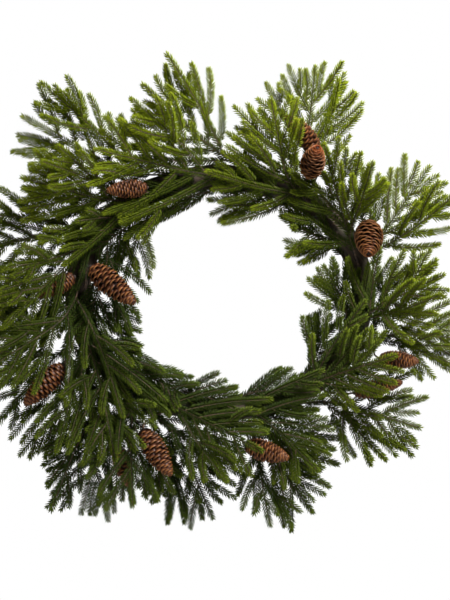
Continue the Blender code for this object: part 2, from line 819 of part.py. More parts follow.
def sprout(bm, walls, middle, points, radii, blocked):
    """Grows a side twig out of the facet of a stem that faces its way."""
    way = Vector(points[1] - points[0]).normalized()

    def facing(wall):
        return (wall.calc_center_median() - middle).normalized().dot(way)

    root = max(walls, key=facing)
    loop = list(root.edges)
    bmesh.ops.delete(bm, geom=[root], context="FACES_ONLY")
    grow(bm, loop, points, radii, 2, blocked, settled=False)


def spread_points(points, count):
    """Count points evenly along a line of points."""
    steps = np.linspace(0, len(points) - 1, count)
    low = np.minimum(steps.astype(int), len(points) - 2)
    share = (steps - low)[:, None]
    return points[low] * (1 - share) + points[low + 1] * share


# ---------------------------------------------------------------- sprays

TAIL_SECTIONS = (0, 1, 3, 4)  # points of a stem's tail that its core passes through
TWIG_CLEARANCE = 0.006       # side twigs of one spray nearer than this aren't both built
CORE_CLEARANCE = 0.0042      # from a needle to the middle of another stem or twig
NEEDLE_CLEARANCE = 0.0036    # from a needle to another's samples
SOLID_CLEARANCE = 0.0008     # from a needle to ring, wire or cone
JOINT_LENGTH = 0.004         # the short stretch of stem that a side twig grows from
CELL = 0.008
MAIN = -1                    # a spray's main stem, beside its twigs' numbers


def cell_of(point):
    return tuple(int(math.floor(value / CELL)) for value in point)


def note_samples(grid, samples, owner):
    for sample in samples:
        grid.setdefault(cell_of(sample), []).append((owner, sample))


def crowded(grid, sample, owner, reach):
    """Whether another stem or twig has a noted sample within reach."""
    cx, cy, cz = cell_of(sample)
    for x in (cx - 1, cx, cx + 1):
        for y in (cy - 1, cy, cy + 1):
            for z in (cz - 1, cz, cz + 1):
                for other, place in grid.get((x, y, z), ()):
                    if other != owner and (place - sample).length < reach:
                        return True
    return False


def inside_or_near(tree, sample, reach):
    spot, normal, _, distance = tree.find_nearest(sample, 0.015)
    if spot is None:
        return False
    return distance < reach or (sample - spot).dot(normal) < 0.0


def core_samples(points, spacing=0.003):
    samples = []
    for start, end in zip(points[:-1], points[1:]):
        start, end = Vector(start), Vector(end)
        steps = max(1, round((end - start).length / spacing))
        samples += [start.lerp(end, step / steps) for step in range(steps)]
    samples.append(Vector(points[-1]))
    return samples


def needle_gate(owner, cores, needles, solids):
    """A test that refuses a needle which would cross another piece."""
    def blocked(centre, apex):
        samples = (apex, centre.lerp(apex, 0.66), centre.lerp(apex, 0.33))
        for sample in samples:
            if crowded(cores, sample, owner, CORE_CLEARANCE):
                return True
            if crowded(needles, sample, owner, NEEDLE_CLEARANCE):
                return True
            if any(inside_or_near(tree, sample, SOLID_CLEARANCE) for tree in solids):
                return True
        note_samples(needles, samples, owner)
        return False
    return blocked


def seat_tail(points, ring_surface, home):
    """Moves a stem's bare tail square to the ring until it lies GAP from the bark."""
    points = points.copy()
    for _ in range(5):
        bm = bmesh.new()
        tail_points = points[list(TAIL_SECTIONS)]
        loop = start_loop(bm, tail_points, STEM_RADIUS)
        grow(bm, loop, tail_points, [STEM_RADIUS] * len(tail_points), 99, None)
        tail = mesh_object("trial", bm, home)
        gap = closest(edge_samples(tail.data), ring_surface)
        bpy.data.objects.remove(tail)
        if abs(gap - GAP) < 0.00004:
            break
        for index in range(TAIL_POINTS + 3):
            place = points[index]
            angle = math.atan2((place[2] - RING_CENTRE_Z) / RING_HALF_HEIGHT,
                               place[0] / RING_HALF_WIDTH)
            away = unit(place - ring_centre(angle))
            fade = min(1.0, 1.0 - 0.25 * (index - TAIL_POINTS + 1))
            points[index] = place + fade * (GAP - gap) * away
    return points


def clear_twigs(twigs):
    """The twigs that a solid spray has, without any that runs into one before it."""
    kept = []
    for number in BUILT_TWIGS:
        line = twigs[number][2:]
        gaps = [np.linalg.norm(line[:, None] - twigs[other][None], axis=2).min() for other in kept]
        if min(gaps, default=1.0) > TWIG_CLEARANCE:
            kept.append(number)
    return kept


def build_spray(name, owner, stem, attach, twigs, guards, parts, home):
    cores, needles, solids, ring_surface = guards
    stem = seat_tail(stem, ring_surface, home)
    points = [stem[index] for index in TAIL_SECTIONS]
    joints = {}
    for number in clear_twigs(twigs):
        node = attach[number]
        ahead = unit(stem[node + 1] - stem[node]) * JOINT_LENGTH
        joints[number] = len(points)
        points += [stem[node], stem[node] + ahead]
    points += [stem[MAIN_POINTS - 2], stem[MAIN_POINTS - 1]]
    points = np.array(points)
    radii = list(np.linspace(STEM_RADIUS, 0.0012, len(points)))
    bm = bmesh.new()
    loop = start_loop(bm, points, STEM_RADIUS)
    blocked = needle_gate((owner, MAIN), cores, needles, solids)
    stretches = grow(bm, loop, points, radii, len(points) - 2, blocked)
    for number, joint in joints.items():
        middle = Vector(0.5 * (points[joint] + points[joint + 1]))
        needled = twigs[number][2:]
        length = np.linalg.norm(np.diff(needled, axis=0), axis=1).sum()
        segments = max(2, round(length / NEEDLED_SEGMENT))
        run = np.concatenate((twigs[number][:1], spread_points(needled, segments + 1)))
        slim = list(np.linspace(0.0015, 0.0009, len(run)))
        blocked = needle_gate((owner, number), cores, needles, solids)
        sprout(bm, stretches[joint], middle, run, slim, blocked)
    return mesh_object(name, bm, parts)


def build_sprays(parts, solids, ring_surface):
    names, stems, attach, twigs = rest_layout()
    stems, twigs = make_room(stems, attach, twigs)
    cores, needles = {}, {}
    for owner, (stem, shoots) in enumerate(zip(stems, twigs)):
        note_samples(cores, core_samples(stem), (owner, MAIN))
        for number in BUILT_TWIGS:
            note_samples(cores, core_samples(shoots[number]), (owner, number))
    home = collection("trials")
    finishes = {row: material(row) for row in ROWS}
    guards = (cores, needles, solids, ring_surface)
    for owner, name in enumerate(names):
        spray = build_spray(name, owner, stems[owner], attach[owner], twigs[owner],
                            guards, parts, home)
        spray.data.materials.clear()
        spray.data.materials.append(finishes[name.split("_")[1]])
    bpy.data.collections.remove(home)


# ---------------------------------------------------------------- the wreath

def main():
    for thing in list(bpy.data.objects):
        bpy.data.objects.remove(thing)
    parts = collection(NAME)
    ring = build_ring(parts)
    add_tendrils(ring)
    ring.data.materials.clear()
    ring.data.materials.append(material("vine"))
    ring_surface = surface(ring)
    over = STEM_LIFT + STEM_RADIUS + WIRE_RADIUS + WIRE_SLACK
    wire = build_wire(parts, over, VINE_RADIUS + WIRE_BACK_LIFT)
    wire.data.materials.append(material("wire"))
    build_cones(parts, ring_surface)
    solids = [ring_surface, surface(wire)]
    solids += [surface(thing) for thing in parts.objects if thing.name.startswith("cone_")]
    build_sprays(parts, solids, ring_surface)
    for thing in parts.objects:
        print(thing.name, len(thing.data.loop_triangles), len(thing.data.polygons))


main()
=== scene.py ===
# %% [markdown]
# # A fresh evergreen wreath
#
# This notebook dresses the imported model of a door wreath: an oval ring of twisted
# vine, three rows of spruce sprays wired to it, and spruce cones on stalks. The
# solids under it are slim cores with a few spikes, good for physics. Here each of
# them gets the needles, bark and scales that the real thing has, in the same place.
#
# The frame comes first. Every piece made below is in metres in the frame's own
# coordinates, and its object stays at the origin.

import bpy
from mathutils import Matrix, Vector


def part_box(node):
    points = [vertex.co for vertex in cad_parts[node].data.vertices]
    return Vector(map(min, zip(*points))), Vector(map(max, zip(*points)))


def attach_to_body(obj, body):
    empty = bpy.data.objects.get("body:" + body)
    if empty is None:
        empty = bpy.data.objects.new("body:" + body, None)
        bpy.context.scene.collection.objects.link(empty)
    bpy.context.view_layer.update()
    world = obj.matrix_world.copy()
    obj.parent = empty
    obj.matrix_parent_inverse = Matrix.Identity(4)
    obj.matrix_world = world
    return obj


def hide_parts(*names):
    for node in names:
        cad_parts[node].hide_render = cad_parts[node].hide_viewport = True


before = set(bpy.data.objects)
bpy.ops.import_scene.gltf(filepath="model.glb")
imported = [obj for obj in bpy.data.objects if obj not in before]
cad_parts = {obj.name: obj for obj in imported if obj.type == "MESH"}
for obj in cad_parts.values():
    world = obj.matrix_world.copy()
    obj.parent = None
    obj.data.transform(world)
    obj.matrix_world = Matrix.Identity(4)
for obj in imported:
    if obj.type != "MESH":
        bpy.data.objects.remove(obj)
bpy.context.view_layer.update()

# %% [markdown]
# Blender's own modules do the work. numpy is here because a wreath has more than a
# hundred thousand needles, and arrays place them all at once.

# %% Modules
import math

import bmesh
import bpy
import numpy as np
from mathutils import Matrix, Vector, noise
from mathutils.kdtree import KDTree

# %% [markdown]
# ## The ring's own directions
#
# A wreath is easiest to lay out in the ring's own terms: an angle round the oval, a
# side of the vine (outwards, or a quarter turn to the front), and a lift off the
# vine's middle. Each helper below turns those into a point in space.

# %% Values of the ring
SEED = 20
GAP = 0.0003                 # clearance that pieces keep where they touch
FRONT = np.array((0.0, -1.0, 0.0))

RING_HALF_WIDTH = 0.236
RING_HALF_HEIGHT = 0.193
VINE_RADIUS = 0.021          # to the crests of the strands
STRANDS = 5
STRAND_TURNS = 3
RING_CENTRE_Z = -(RING_HALF_HEIGHT - VINE_RADIUS)
STATIONS = 12
CROWDING = 0.20              # how much closer the turns are on the left than on the right
CROWDED_SIDE = math.radians(190)
WIRE_RADIUS = 0.0008
WIRE_SLACK = 0.0006          # how far the wire clears the stems that it lies over
WIRE_BACK_LIFT = 0.003       # how far the wire's flats behind stand off the bark

# %% Points round the ring
def ring_centre(angle):
    """A point on the ring's oval centre line, in the XZ plane."""
    return np.array((
        RING_HALF_WIDTH * math.cos(angle),
        0.0,
        RING_CENTRE_Z + RING_HALF_HEIGHT * math.sin(angle),
    ))


def ring_outward(angle):
    """The direction away from the middle, square to the ring's run."""
    out = np.array((RING_HALF_HEIGHT * math.cos(angle), 0.0, RING_HALF_WIDTH * math.sin(angle)))
    return out / np.linalg.norm(out)


def ring_tangent(angle):
    """The ring's run, anticlockwise as seen from the front."""
    run = np.array((-RING_HALF_WIDTH * math.sin(angle), 0.0, RING_HALF_HEIGHT * math.cos(angle)))
    return run / np.linalg.norm(run)


def station_angle(turns):
    """Angle round the ring after a number of turns of wire."""
    even = turns * math.tau / STATIONS
    return even - CROWDING * math.sin(even - CROWDED_SIDE)


def ring_side(angle, side):
    """The direction from the centre line to a side: 0 outward, a quarter turn to the front."""
    return math.cos(side) * ring_outward(angle) + math.sin(side) * FRONT


def ring_point(angle, side, lift):
    """A point at a distance of lift from the centre line."""
    return ring_centre(angle) + lift * ring_side(angle, side)


print("ring", round(2 * RING_HALF_WIDTH, 3), "by", round(2 * RING_HALF_HEIGHT, 3), "m")

# %% [markdown]
# ## Where the sprays grow
#
# A florist lays three rows of sprays round the ring, all pointing the same way
# round: one row leans outwards, one lies along the front and one turns into the
# middle. Each spray is a main stem with side twigs left and right of it. The draws
# are seeded, so the same wreath grows each time, on the same solids.

# %% Values of the sprays
STEM_RADIUS = 0.0019
STEM_LIFT = VINE_RADIUS + GAP + STEM_RADIUS    # stem centre from the ring's centre line
TAIL_ANGLE = math.radians(16)                  # bare stem that lies under the wire
NEEDLE_REACH = 0.0078        # how far needles stand off the middle of a twig
MAIN_POINTS = 20
TAIL_POINTS = 5
TWIGS = 10
TWIG_POINTS = 8
TWIG_LENGTH = 0.112
TWIG_SPREAD = math.radians(35)
SWAY = {"outer": math.radians(7), "front": math.radians(20), "inner": math.radians(4)}
BUILT_TWIGS = (0, 1, 4, 5, 8)  # the finished look has all of them
BEND_ROOM = 0.0045           # room kept round a stem where it bends away from the wire
FOOT_ROOM = 0.0035           # room kept round a side twig's foot
RING_ROOM = VINE_RADIUS + NEEDLE_REACH + 0.003   # from the ring's centre line to a twig's
NEEDLE_SLACK = 0.0015        # between the needles of neighbouring twigs

HOLE_HALF_WIDTH = 0.098
HOLE_HALF_HEIGHT = 0.110
HOLE_MARGIN = 0.014
GROWN_APART = 0.026          # points of one spray further apart than this may not meet
BACK_LIMIT = 0.030           # the wall behind, with room for the needles
FRONT_LIMIT = -0.125

# side of the ring, lean off its run, pitch to the front and length
ROWS = {
    "outer": (math.radians(35), math.radians(46), math.radians(5), 0.220),
    "front": (math.radians(90), math.radians(24), math.radians(17), 0.215),
    "inner": (math.radians(145), math.radians(-20), math.radians(5), 0.155),
}

# %% Main stems
def unit(vector):
    return vector / np.linalg.norm(vector)


def smooth(value):
    value = min(1.0, max(0.0, value))
    return value * value * (3.0 - 2.0 * value)


def row_lean(row, angle, lean):
    """How far a row leans away from the ring's run at an angle round the ring."""
    if row == "inner":
        facing_right = max(0.0, math.cos(angle + math.radians(10)))
        facing_down = max(0.0, -math.sin(angle))
        return lean + math.radians(30) * facing_down ** 4 - math.radians(32) * facing_right ** 2
    if row == "outer":
        return lean + math.radians(8) * math.cos(angle + math.radians(20))
    return lean


def row_size(row, angle):
    """Sprays are longest on the left and at the top, shortest on the right inside."""
    size = 1.0 + 0.12 * math.cos(angle - math.radians(150))
    if row == "inner":
        size -= 0.16 * max(0.0, math.cos(angle)) + 0.25 * max(0.0, -math.sin(angle)) ** 2
    return size


def main_stem(row, station, rng):
    """Rest points of a spray's main stem: a tail under the wire, then a leaning run."""
    side, lean, pitch, length = ROWS[row]
    wire_angle = station_angle(station + side / math.tau)
    leave = wire_angle + TAIL_ANGLE * rng.uniform(0.40, 0.60)
    lean = row_lean(row, leave, lean) + SWAY[row] * (1 if station % 2 else -1)
    lean += math.radians(rng.uniform(-8, 8))
    pitch = pitch + math.radians(rng.uniform(-4, 6))
    length = length * row_size(row, leave) * rng.uniform(0.92, 1.10)

    points = []
    for step in range(TAIL_POINTS):
        back = TAIL_ANGLE * (1.0 - step / (TAIL_POINTS - 1))
        points.append(ring_point(leave - back, side, STEM_LIFT))

    run = ring_tangent(leave)
    across = ring_outward(leave)
    level = math.cos(lean) * run + math.sin(lean) * across
    final = unit(math.cos(pitch) * level + math.sin(pitch) * FRONT)
    start = unit(run + 0.35 * ring_side(leave, side))
    steps = MAIN_POINTS - TAIL_POINTS
    for step in range(steps):
        blend = smooth((step + 1) / (0.55 * steps))
        heading = unit((1.0 - blend) * start + blend * final)
        points.append(points[-1] + heading * length / steps)
    return np.array(points)

# %% Side twigs and the whole layout
def side_twigs(stem, rng):
    """Rest points of the side twigs, alternately left and right of a main stem."""
    roll = math.radians(rng.uniform(-22, 22)) + math.radians(14)
    stem_size = np.linalg.norm(stem[-1] - stem[TAIL_POINTS]) / 0.18
    attach = []
    twigs = []
    first = TAIL_POINTS + 1
    for number in range(TWIGS):
        share = number / (TWIGS - 1)
        node = first + round(share * (MAIN_POINTS - 5 - first))
        heading = unit(stem[node + 1] - stem[node - 1])
        flat = unit(np.cross(heading, FRONT))
        lift = np.cross(flat, heading)
        sideways = math.cos(roll) * flat + math.sin(roll) * lift
        hand = 1.0 if number % 2 else -1.0
        length = TWIG_LENGTH * stem_size * (1.0 - 0.42 * share) * rng.uniform(0.88, 1.12)
        spread = TWIG_SPREAD + math.radians(rng.uniform(-7, 9))
        points = [stem[node]]
        for step in range(TWIG_POINTS - 1):
            turn = spread * (1.12 - 0.35 * step / (TWIG_POINTS - 1))
            direction = math.cos(turn) * heading + hand * math.sin(turn) * sideways
            points.append(points[-1] + direction * length / (TWIG_POINTS - 1))
        attach.append(node)
        twigs.append(points)
    return attach, twigs


def rest_layout():
    """Names, main stems and side twigs of every spray before they make room."""
    rng = np.random.default_rng(SEED)
    names, stems, attach, twigs = [], [], [], []
    for row in ROWS:
        for station in range(STATIONS):
            stem = main_stem(row, station, rng)
            nodes, shoots = side_twigs(stem, rng)
            names.append(f"spray_{row}_{station + 1:02d}")
            stems.append(stem)
            attach.append(nodes)
            twigs.append(shoots)
    return names, np.array(stems), np.array(attach), np.array(twigs)


spray_names, rest_stems, attach_points, rest_twigs = rest_layout()
SPRAYS = len(spray_names)
print(SPRAYS, "sprays with", TWIGS, "side twigs each")

# %% [markdown]
# ## Where the cones and tendrils sit
#
# The cones are picked onto the ring one by one, so each has its own place: an angle
# round the ring, a distance out from it and in front of it, and the way it points.
# Its stalk is a soft curve from a seat between two turns of the wire. A few
# tendrils curl off the inner side of the ring at the bottom.

# %% Values of the cones
# angle, distance out, heading, pitch, distance in front, length, width, and the
# turn of wire and side of the ring where the stalk sits
CONES = (
    (65, 0.096, 133, 8, 0.052, 0.084, 0.037, 1, 25),
    (58, 0.060, 73, 52, 0.088, 0.080, 0.041, 1, 70),
    (23, 0.030, -94, 50, 0.066, 0.085, 0.048, 0, 62),
    (338, 0.083, -3, 8, 0.058, 0.070, 0.033, 11, 45),
    (327, 0.079, 13, 10, 0.050, 0.088, 0.030, 10, 62),
    (285, 0.074, -17, 8, 0.066, 0.080, 0.037, 9, 62),
    (250, 0.082, -58, 8, 0.072, 0.094, 0.041, 8, 70),
    (242, 0.124, -71, 5, 0.046, 0.075, 0.031, 8, 25),
    (209, 0.099, -135, 5, 0.062, 0.098, 0.040, 6, 62),
    (173, -0.058, -39, 15, 0.062, 0.104, 0.043, 5, 118),
    (127, 0.021, -176, 10, 0.066, 0.072, 0.032, 3, 62),
    (177, 0.035, -152, 5, 0.048, 0.075, 0.033, 5, 45),
)
STALK_RADIUS = 0.0018

# %% Places of cones and stalks
def cone_axis(cone):
    """Base and tip of a cone's body."""
    angle, distance, heading, pitch, forward, length = cone[:6]
    angle, heading, pitch = (math.radians(value) for value in (angle, heading, pitch))
    middle = ring_centre(angle) + distance * ring_outward(angle) + forward * FRONT
    level = np.array((math.cos(heading), 0.0, math.sin(heading)))
    axis = math.cos(pitch) * level + math.sin(pitch) * FRONT
    return middle - 0.5 * length * axis, middle + 0.5 * length * axis


def cone_seat(cone):
    """Angle round the ring and side where a cone's stalk meets the ring."""
    slot, side = cone[7:]
    return station_angle(slot + 0.5 + side / 360), math.radians(side)


def stalk_points(cone, lift):
    """A cone's stalk from its seat on the ring to just inside the cone's base."""
    base, tip = cone_axis(cone)
    angle, side = cone_seat(cone)
    seat = ring_point(angle, side, lift)
    axis = unit(tip - base)
    reach = np.linalg.norm(base - seat)
    leave = seat + ring_side(angle, side) * 0.35 * reach
    arrive = base - axis * 0.30 * reach
    points = []
    for step in range(6):
        share = step / 5
        keep = 1.0 - share
        points.append(
            keep ** 3 * seat + 3 * keep ** 2 * share * leave
            + 3 * keep * share ** 2 * arrive + share ** 3 * (base + axis * 0.008)
        )
    return np.array(points)


print(len(CONES), "cones")

# %% Places of tendrils
# angle, and millimetres inwards and to the front, of each place on a tendril
TENDRILS = (
    ((-103, -3, 2), (-102.5, 7, 3), (-100, 14, 4), (-97, 13, 4), (-97, 7, 6), (-99.5, 5, 7)),
    ((-90.5, -3, 4), (-90, 9, 4), (-88, 16, 4), (-84, 12, 3), (-82, -3, 2)),
    ((-73, -3, 0), (-71, 8, 1), (-67, 12, 1), (-62, 20, 3), (-58, 27, 5)),
    ((-120, -3, 0), (-121, 10, 1), (-124, 17, 2), (-128, 14, 3)),
    ((-93.5, -3, 3), (-93.8, 6, 4), (-94.4, 12, 4)),
)
TENDRIL_RADIUS = 0.0011

def tendril_points(places, count=8):
    """A soft curve through a tendril's own places on the inner side of the ring."""
    knots = []
    for angle, rise, forward in places:
        base = ring_point(math.radians(angle), math.pi, VINE_RADIUS)
        inward = -ring_outward(math.radians(angle))
        knots.append(base + 0.001 * (rise * inward + forward * FRONT))
    knots = [2 * knots[0] - knots[1]] + knots + [2 * knots[-1] - knots[-2]]
    points = []
    spans = len(knots) - 3
    for number in range(count):
        place = number / (count - 1) * spans
        span = min(int(place), spans - 1)
        t = place - span
        a, b, c, d = knots[span:span + 4]
        points.append(0.5 * (
            2 * b + (c - a) * t + (2 * a - 5 * b + 4 * c - d) * t ** 2
            + (3 * b - a - 3 * c + d) * t ** 3
        ))
    return points

# %% [markdown]
# ## Making room
#
# Fresh sprays push each other aside where they touch. The same happens here: each
# stem and twig is a chain of points, and in each round the points that are too near
# to others, to the ring, to a cone or to the opening in the middle are moved apart,
# while the chains keep their length and stay smooth.

# %% The ring's oval in arrays
def oval_angles(points):
    """Angle round the ring of each point."""
    return np.arctan2((points[:, 2] - RING_CENTRE_Z) / RING_HALF_HEIGHT,
                      points[:, 0] / RING_HALF_WIDTH)


def from_centre(points):
    """Each point's offset from the ring's centre line."""
    angle = oval_angles(points)
    centre = np.zeros_like(points)
    centre[:, 0] = RING_HALF_WIDTH * np.cos(angle)
    centre[:, 2] = RING_CENTRE_Z + RING_HALF_HEIGHT * np.sin(angle)
    return points - centre


# %% Pushes
def capsule_push(points, start, end, radius):
    """Moves that take points out of a capsule."""
    run = end - start
    share = np.clip(((points - start) @ run) / (run @ run), 0.0, 1.0)
    away = points - (start + share[:, None] * run)
    distance = np.sqrt((away * away).sum(axis=1)) + 1e-9
    return away * (np.maximum(0.0, radius - distance) / distance)[:, None]


def ring_push(points, clearance):
    """Moves that take points off the ring."""
    away = from_centre(points)
    distance = np.sqrt((away * away).sum(axis=1)) + 1e-9
    return away * (np.maximum(0.0, clearance - distance) / distance)[:, None]


def hole_push(points, margin):
    """Moves that take points out of the opening in the middle, by the nearest side."""
    across = points[:, 0]
    up = points[:, 2] - RING_CENTRE_Z
    in_x = HOLE_HALF_WIDTH + margin - np.abs(across)
    in_z = HOLE_HALF_HEIGHT + margin - np.abs(up)
    inside = (in_x > 0.0) & (in_z > 0.0)
    moves = np.zeros_like(points)
    sideways = inside & (in_x < in_z)
    upward = inside & (in_x >= in_z)
    moves[sideways, 0] = np.sign(across[sideways]) * in_x[sideways]
    moves[upward, 2] = np.sign(up[upward]) * in_z[upward]
    return moves


def near_pairs(points, owner, rest, reach):
    """Pairs of points within reach of each other, on different sprays or grown apart."""
    tree = KDTree(len(points))
    for index, point in enumerate(points):
        tree.insert(point, index)
    tree.balance()
    first, second = [], []
    for index, point in enumerate(points):
        for _, other, _ in tree.find_range(point, reach):
            if other <= index:
                continue
            grown_apart = np.abs(rest[other] - rest[index]).sum() > GROWN_APART
            if owner[other] != owner[index] or grown_apart:
                first.append(index)
                second.append(other)
    return np.array(first), np.array(second)


def point_sizes(stems, twigs):
    """The radius that each point keeps free: slim on bare stem, wider among needles."""
    stem_size = np.full(stems.shape[:2], NEEDLE_REACH)
    stem_size[:, :TAIL_POINTS] = STEM_RADIUS + WIRE_RADIUS
    stem_size[:, TAIL_POINTS] = BEND_ROOM
    twig_size = np.full(twigs.shape[:3], 0.5 * NEEDLE_REACH)
    twig_size[:, BUILT_TWIGS] = NEEDLE_REACH
    twig_size[:, :, 0] = FOOT_ROOM
    return np.concatenate((stem_size.reshape(-1), twig_size.reshape(-1)))

# %% Solid things that sprays keep off
def solid_bodies():
    """Capsules along the cones, their stalks and the tendrils."""
    bodies = []
    for cone in CONES:
        base, tip = cone_axis(cone)
        inset = unit(tip - base) * cone[6] * 0.4
        bodies.append((base + inset, tip - inset, 0.5 * cone[6]))
        stalk = stalk_points(cone, STEM_LIFT)
        for start, end in zip(stalk[:-2], stalk[1:-1]):
            bodies.append((start, end, STALK_RADIUS + GAP))
    for places in TENDRILS:
        vine = tendril_points(places)
        for start, end in zip(vine[1:-1], vine[2:]):
            bodies.append((start, end, TENDRIL_RADIUS))
    return bodies


BODIES = solid_bodies()

# %% Relax the sprays
def make_room(stems, attach, twigs, steps=300):
    """Bends sprays until they are clear of each other, the ring, the cones and the opening."""
    count = len(stems)
    rest = stems.copy()
    before = np.concatenate((stems.reshape(-1, 3), twigs.reshape(-1, 3)))
    rest_twigs = twigs - twigs[:, :, :1]
    stem_step = np.linalg.norm(np.diff(stems, axis=1), axis=2)
    twig_step = np.linalg.norm(np.diff(twigs, axis=2), axis=3)
    shift = np.zeros_like(stems)
    bend = np.zeros_like(rest_twigs)
    size = point_sizes(stems, twigs)
    rows = np.arange(count)[:, None]
    owner = np.concatenate((
        np.repeat(np.arange(count), MAIN_POINTS),
        np.repeat(np.arange(count), TWIGS * TWIG_POINTS),
    ))
    split = count * MAIN_POINTS
    clearance = np.full((count, MAIN_POINTS), RING_ROOM)
    clearance[:, :TAIL_POINTS] = 0.0
    clearance[:, TAIL_POINTS] = STEM_LIFT
    clearance[:, TAIL_POINTS + 1] = STEM_LIFT + 0.004
    clearance = np.concatenate((
        clearance.reshape(-1), np.full(count * TWIGS * TWIG_POINTS, RING_ROOM)
    ))
    for step in range(steps):
        grown = min(1.0, 0.55 + 0.6 * step / steps)
        stems = rest + shift
        for node in range(TAIL_POINTS, MAIN_POINTS):
            run = stems[:, node] - stems[:, node - 1]
            run *= (stem_step[:, node - 1] / np.linalg.norm(run, axis=1))[:, None]
            stems[:, node] = stems[:, node - 1] + run
        roots = stems[rows, attach]
        twigs = roots[:, :, None] + rest_twigs + bend
        for node in range(1, TWIG_POINTS):
            run = twigs[:, :, node] - twigs[:, :, node - 1]
            run *= (twig_step[:, :, node - 1] / np.linalg.norm(run, axis=2))[:, :, None]
            twigs[:, :, node] = twigs[:, :, node - 1] + run
        shift = stems - rest
        bend = twigs - roots[:, :, None] - rest_twigs
        points = np.concatenate((stems.reshape(-1, 3), twigs.reshape(-1, 3)))
        if step == steps - 1:
            break
        if step % 6 == 0:
            first, second = near_pairs(points, owner, before, 2.0 * NEEDLE_REACH + 0.010)

        apart = points[first] - points[second]
        apart[:, 1] *= 1.6
        length = np.sqrt((apart * apart).sum(axis=1)) + 1e-9
        real = np.sqrt(((points[first] - points[second]) ** 2).sum(axis=1))
        need = (size[first] + size[second] + NEEDLE_SLACK) * grown - real
        push = apart * (0.5 * np.maximum(0.0, need) / length)[:, None]
        moves = np.zeros_like(points)
        hits = np.zeros(len(points))
        touching = need > 0.0
        for axis in range(3):
            moves[:, axis] += np.bincount(first, push[:, axis], len(points))
            moves[:, axis] -= np.bincount(second, push[:, axis], len(points))
        hits += np.bincount(first, touching, len(points))
        hits += np.bincount(second, touching, len(points))
        moves /= np.maximum(1.0, 0.6 * hits)[:, None]

        moves += 0.7 * ring_push(points, clearance)
        for start, end, radius in BODIES:
            moves += 0.9 * capsule_push(points, start, end, (radius + size) * grown)
        moves += 0.5 * hole_push(points, HOLE_MARGIN)
        moves[:, 1] += 0.5 * np.minimum(0.0, BACK_LIMIT - points[:, 1])
        moves[:, 1] += 0.5 * np.maximum(0.0, FRONT_LIMIT - points[:, 1])

        stem_moves = moves[:split].reshape(stems.shape)
        twig_moves = moves[split:].reshape(twigs.shape)
        carried = 0.25 * twig_moves.mean(axis=2)
        for number in range(TWIGS):
            stem_moves[rows[:, 0], attach[:, number]] += carried[:, number]
        shift = shift * 0.997 + stem_moves
        bend = bend * 0.995 + twig_moves
        shift[:, :TAIL_POINTS] = 0.0
        bend[:, :, 0] = 0.0
        for _ in range(2):
            middle = 0.5 * shift[:, TAIL_POINTS:-1]
            middle += 0.25 * (shift[:, TAIL_POINTS - 1:-2] + shift[:, TAIL_POINTS + 1:])
            shift[:, TAIL_POINTS:-1] = middle
            shift[:, -1] = 0.5 * shift[:, -1] + 0.5 * (2.0 * shift[:, -2] - shift[:, -3])
            middle = 0.5 * bend[:, :, 1:-1] + 0.25 * (bend[:, :, :-2] + bend[:, :, 2:])
            bend[:, :, 1:-1] = middle
            bend[:, :, -1] = 0.5 * bend[:, :, -1] + 0.5 * (2.0 * bend[:, :, -2] - bend[:, :, -3])
    short = need[need > 0.0]
    print(f"pairs still close: {len(short)}, worst {1000 * need.max():.1f} mm")
    return stems, twigs


STEMS, TWIG_LINES = make_room(rest_stems, attach_points, rest_twigs)


def spray_solid_offset(number):
    """How far a spray's lines reach outside its solid's box, in millimetres."""
    low, high = (np.array(corner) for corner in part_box(spray_names[number]))
    line = STEMS[number]
    return 1000 * max((low - line.min(axis=0)).max(), (line.max(axis=0) - high).max())


print("worst line outside its solid", round(max(map(spray_solid_offset, range(SPRAYS))), 1), "mm")

# %% [markdown]
# ## Shared effects for the finishes
#
# Bark, needles and cone scales all vary over a few millimetres, and again over a
# few centimetres. Two small node groups give that to each finish: one turns noise
# into a mottled mask, and one makes the long streaks of fibre that bark has. They
# put out values only; each material decides what to do with them.

# %% Node helpers
def value_group(name, inputs, outputs):
    """An empty shader group with named float or vector inputs and outputs."""
    group = bpy.data.node_groups.new(name, "ShaderNodeTree")
    for label, kind, value in inputs:
        socket = group.interface.new_socket(label, in_out="INPUT", socket_type=kind)
        if value is not None:
            socket.default_value = value
    for label in outputs:
        group.interface.new_socket(label, in_out="OUTPUT", socket_type="NodeSocketFloat")
    return group, group.nodes.new("NodeGroupInput"), group.nodes.new("NodeGroupOutput")


def add_node(tree, kind, **settings):
    node = tree.nodes.new(kind)
    for label, value in settings.items():
        setattr(node, label, value)
    return node


# %% The mottle group
def build_mottle():
    group, start, end = value_group(
        "mottle",
        (("Vector", "NodeSocketVector", None), ("Scale", "NodeSocketFloat", 200.0),
         ("Low", "NodeSocketFloat", 0.4), ("High", "NodeSocketFloat", 0.6)),
        ("Mask", "Raw"),
    )
    cloud = add_node(group, "ShaderNodeTexNoise")
    cloud.inputs["Detail"].default_value = 4.0
    ramp = add_node(group, "ShaderNodeMapRange", interpolation_type="SMOOTHSTEP")
    group.links.new(start.outputs["Vector"], cloud.inputs["Vector"])
    group.links.new(start.outputs["Scale"], cloud.inputs["Scale"])
    group.links.new(cloud.outputs["Fac"], ramp.inputs["Value"])
    group.links.new(start.outputs["Low"], ramp.inputs["From Min"])
    group.links.new(start.outputs["High"], ramp.inputs["From Max"])
    group.links.new(ramp.outputs["Result"], end.inputs["Mask"])
    group.links.new(cloud.outputs["Fac"], end.inputs["Raw"])
    return group


MOTTLE = build_mottle()


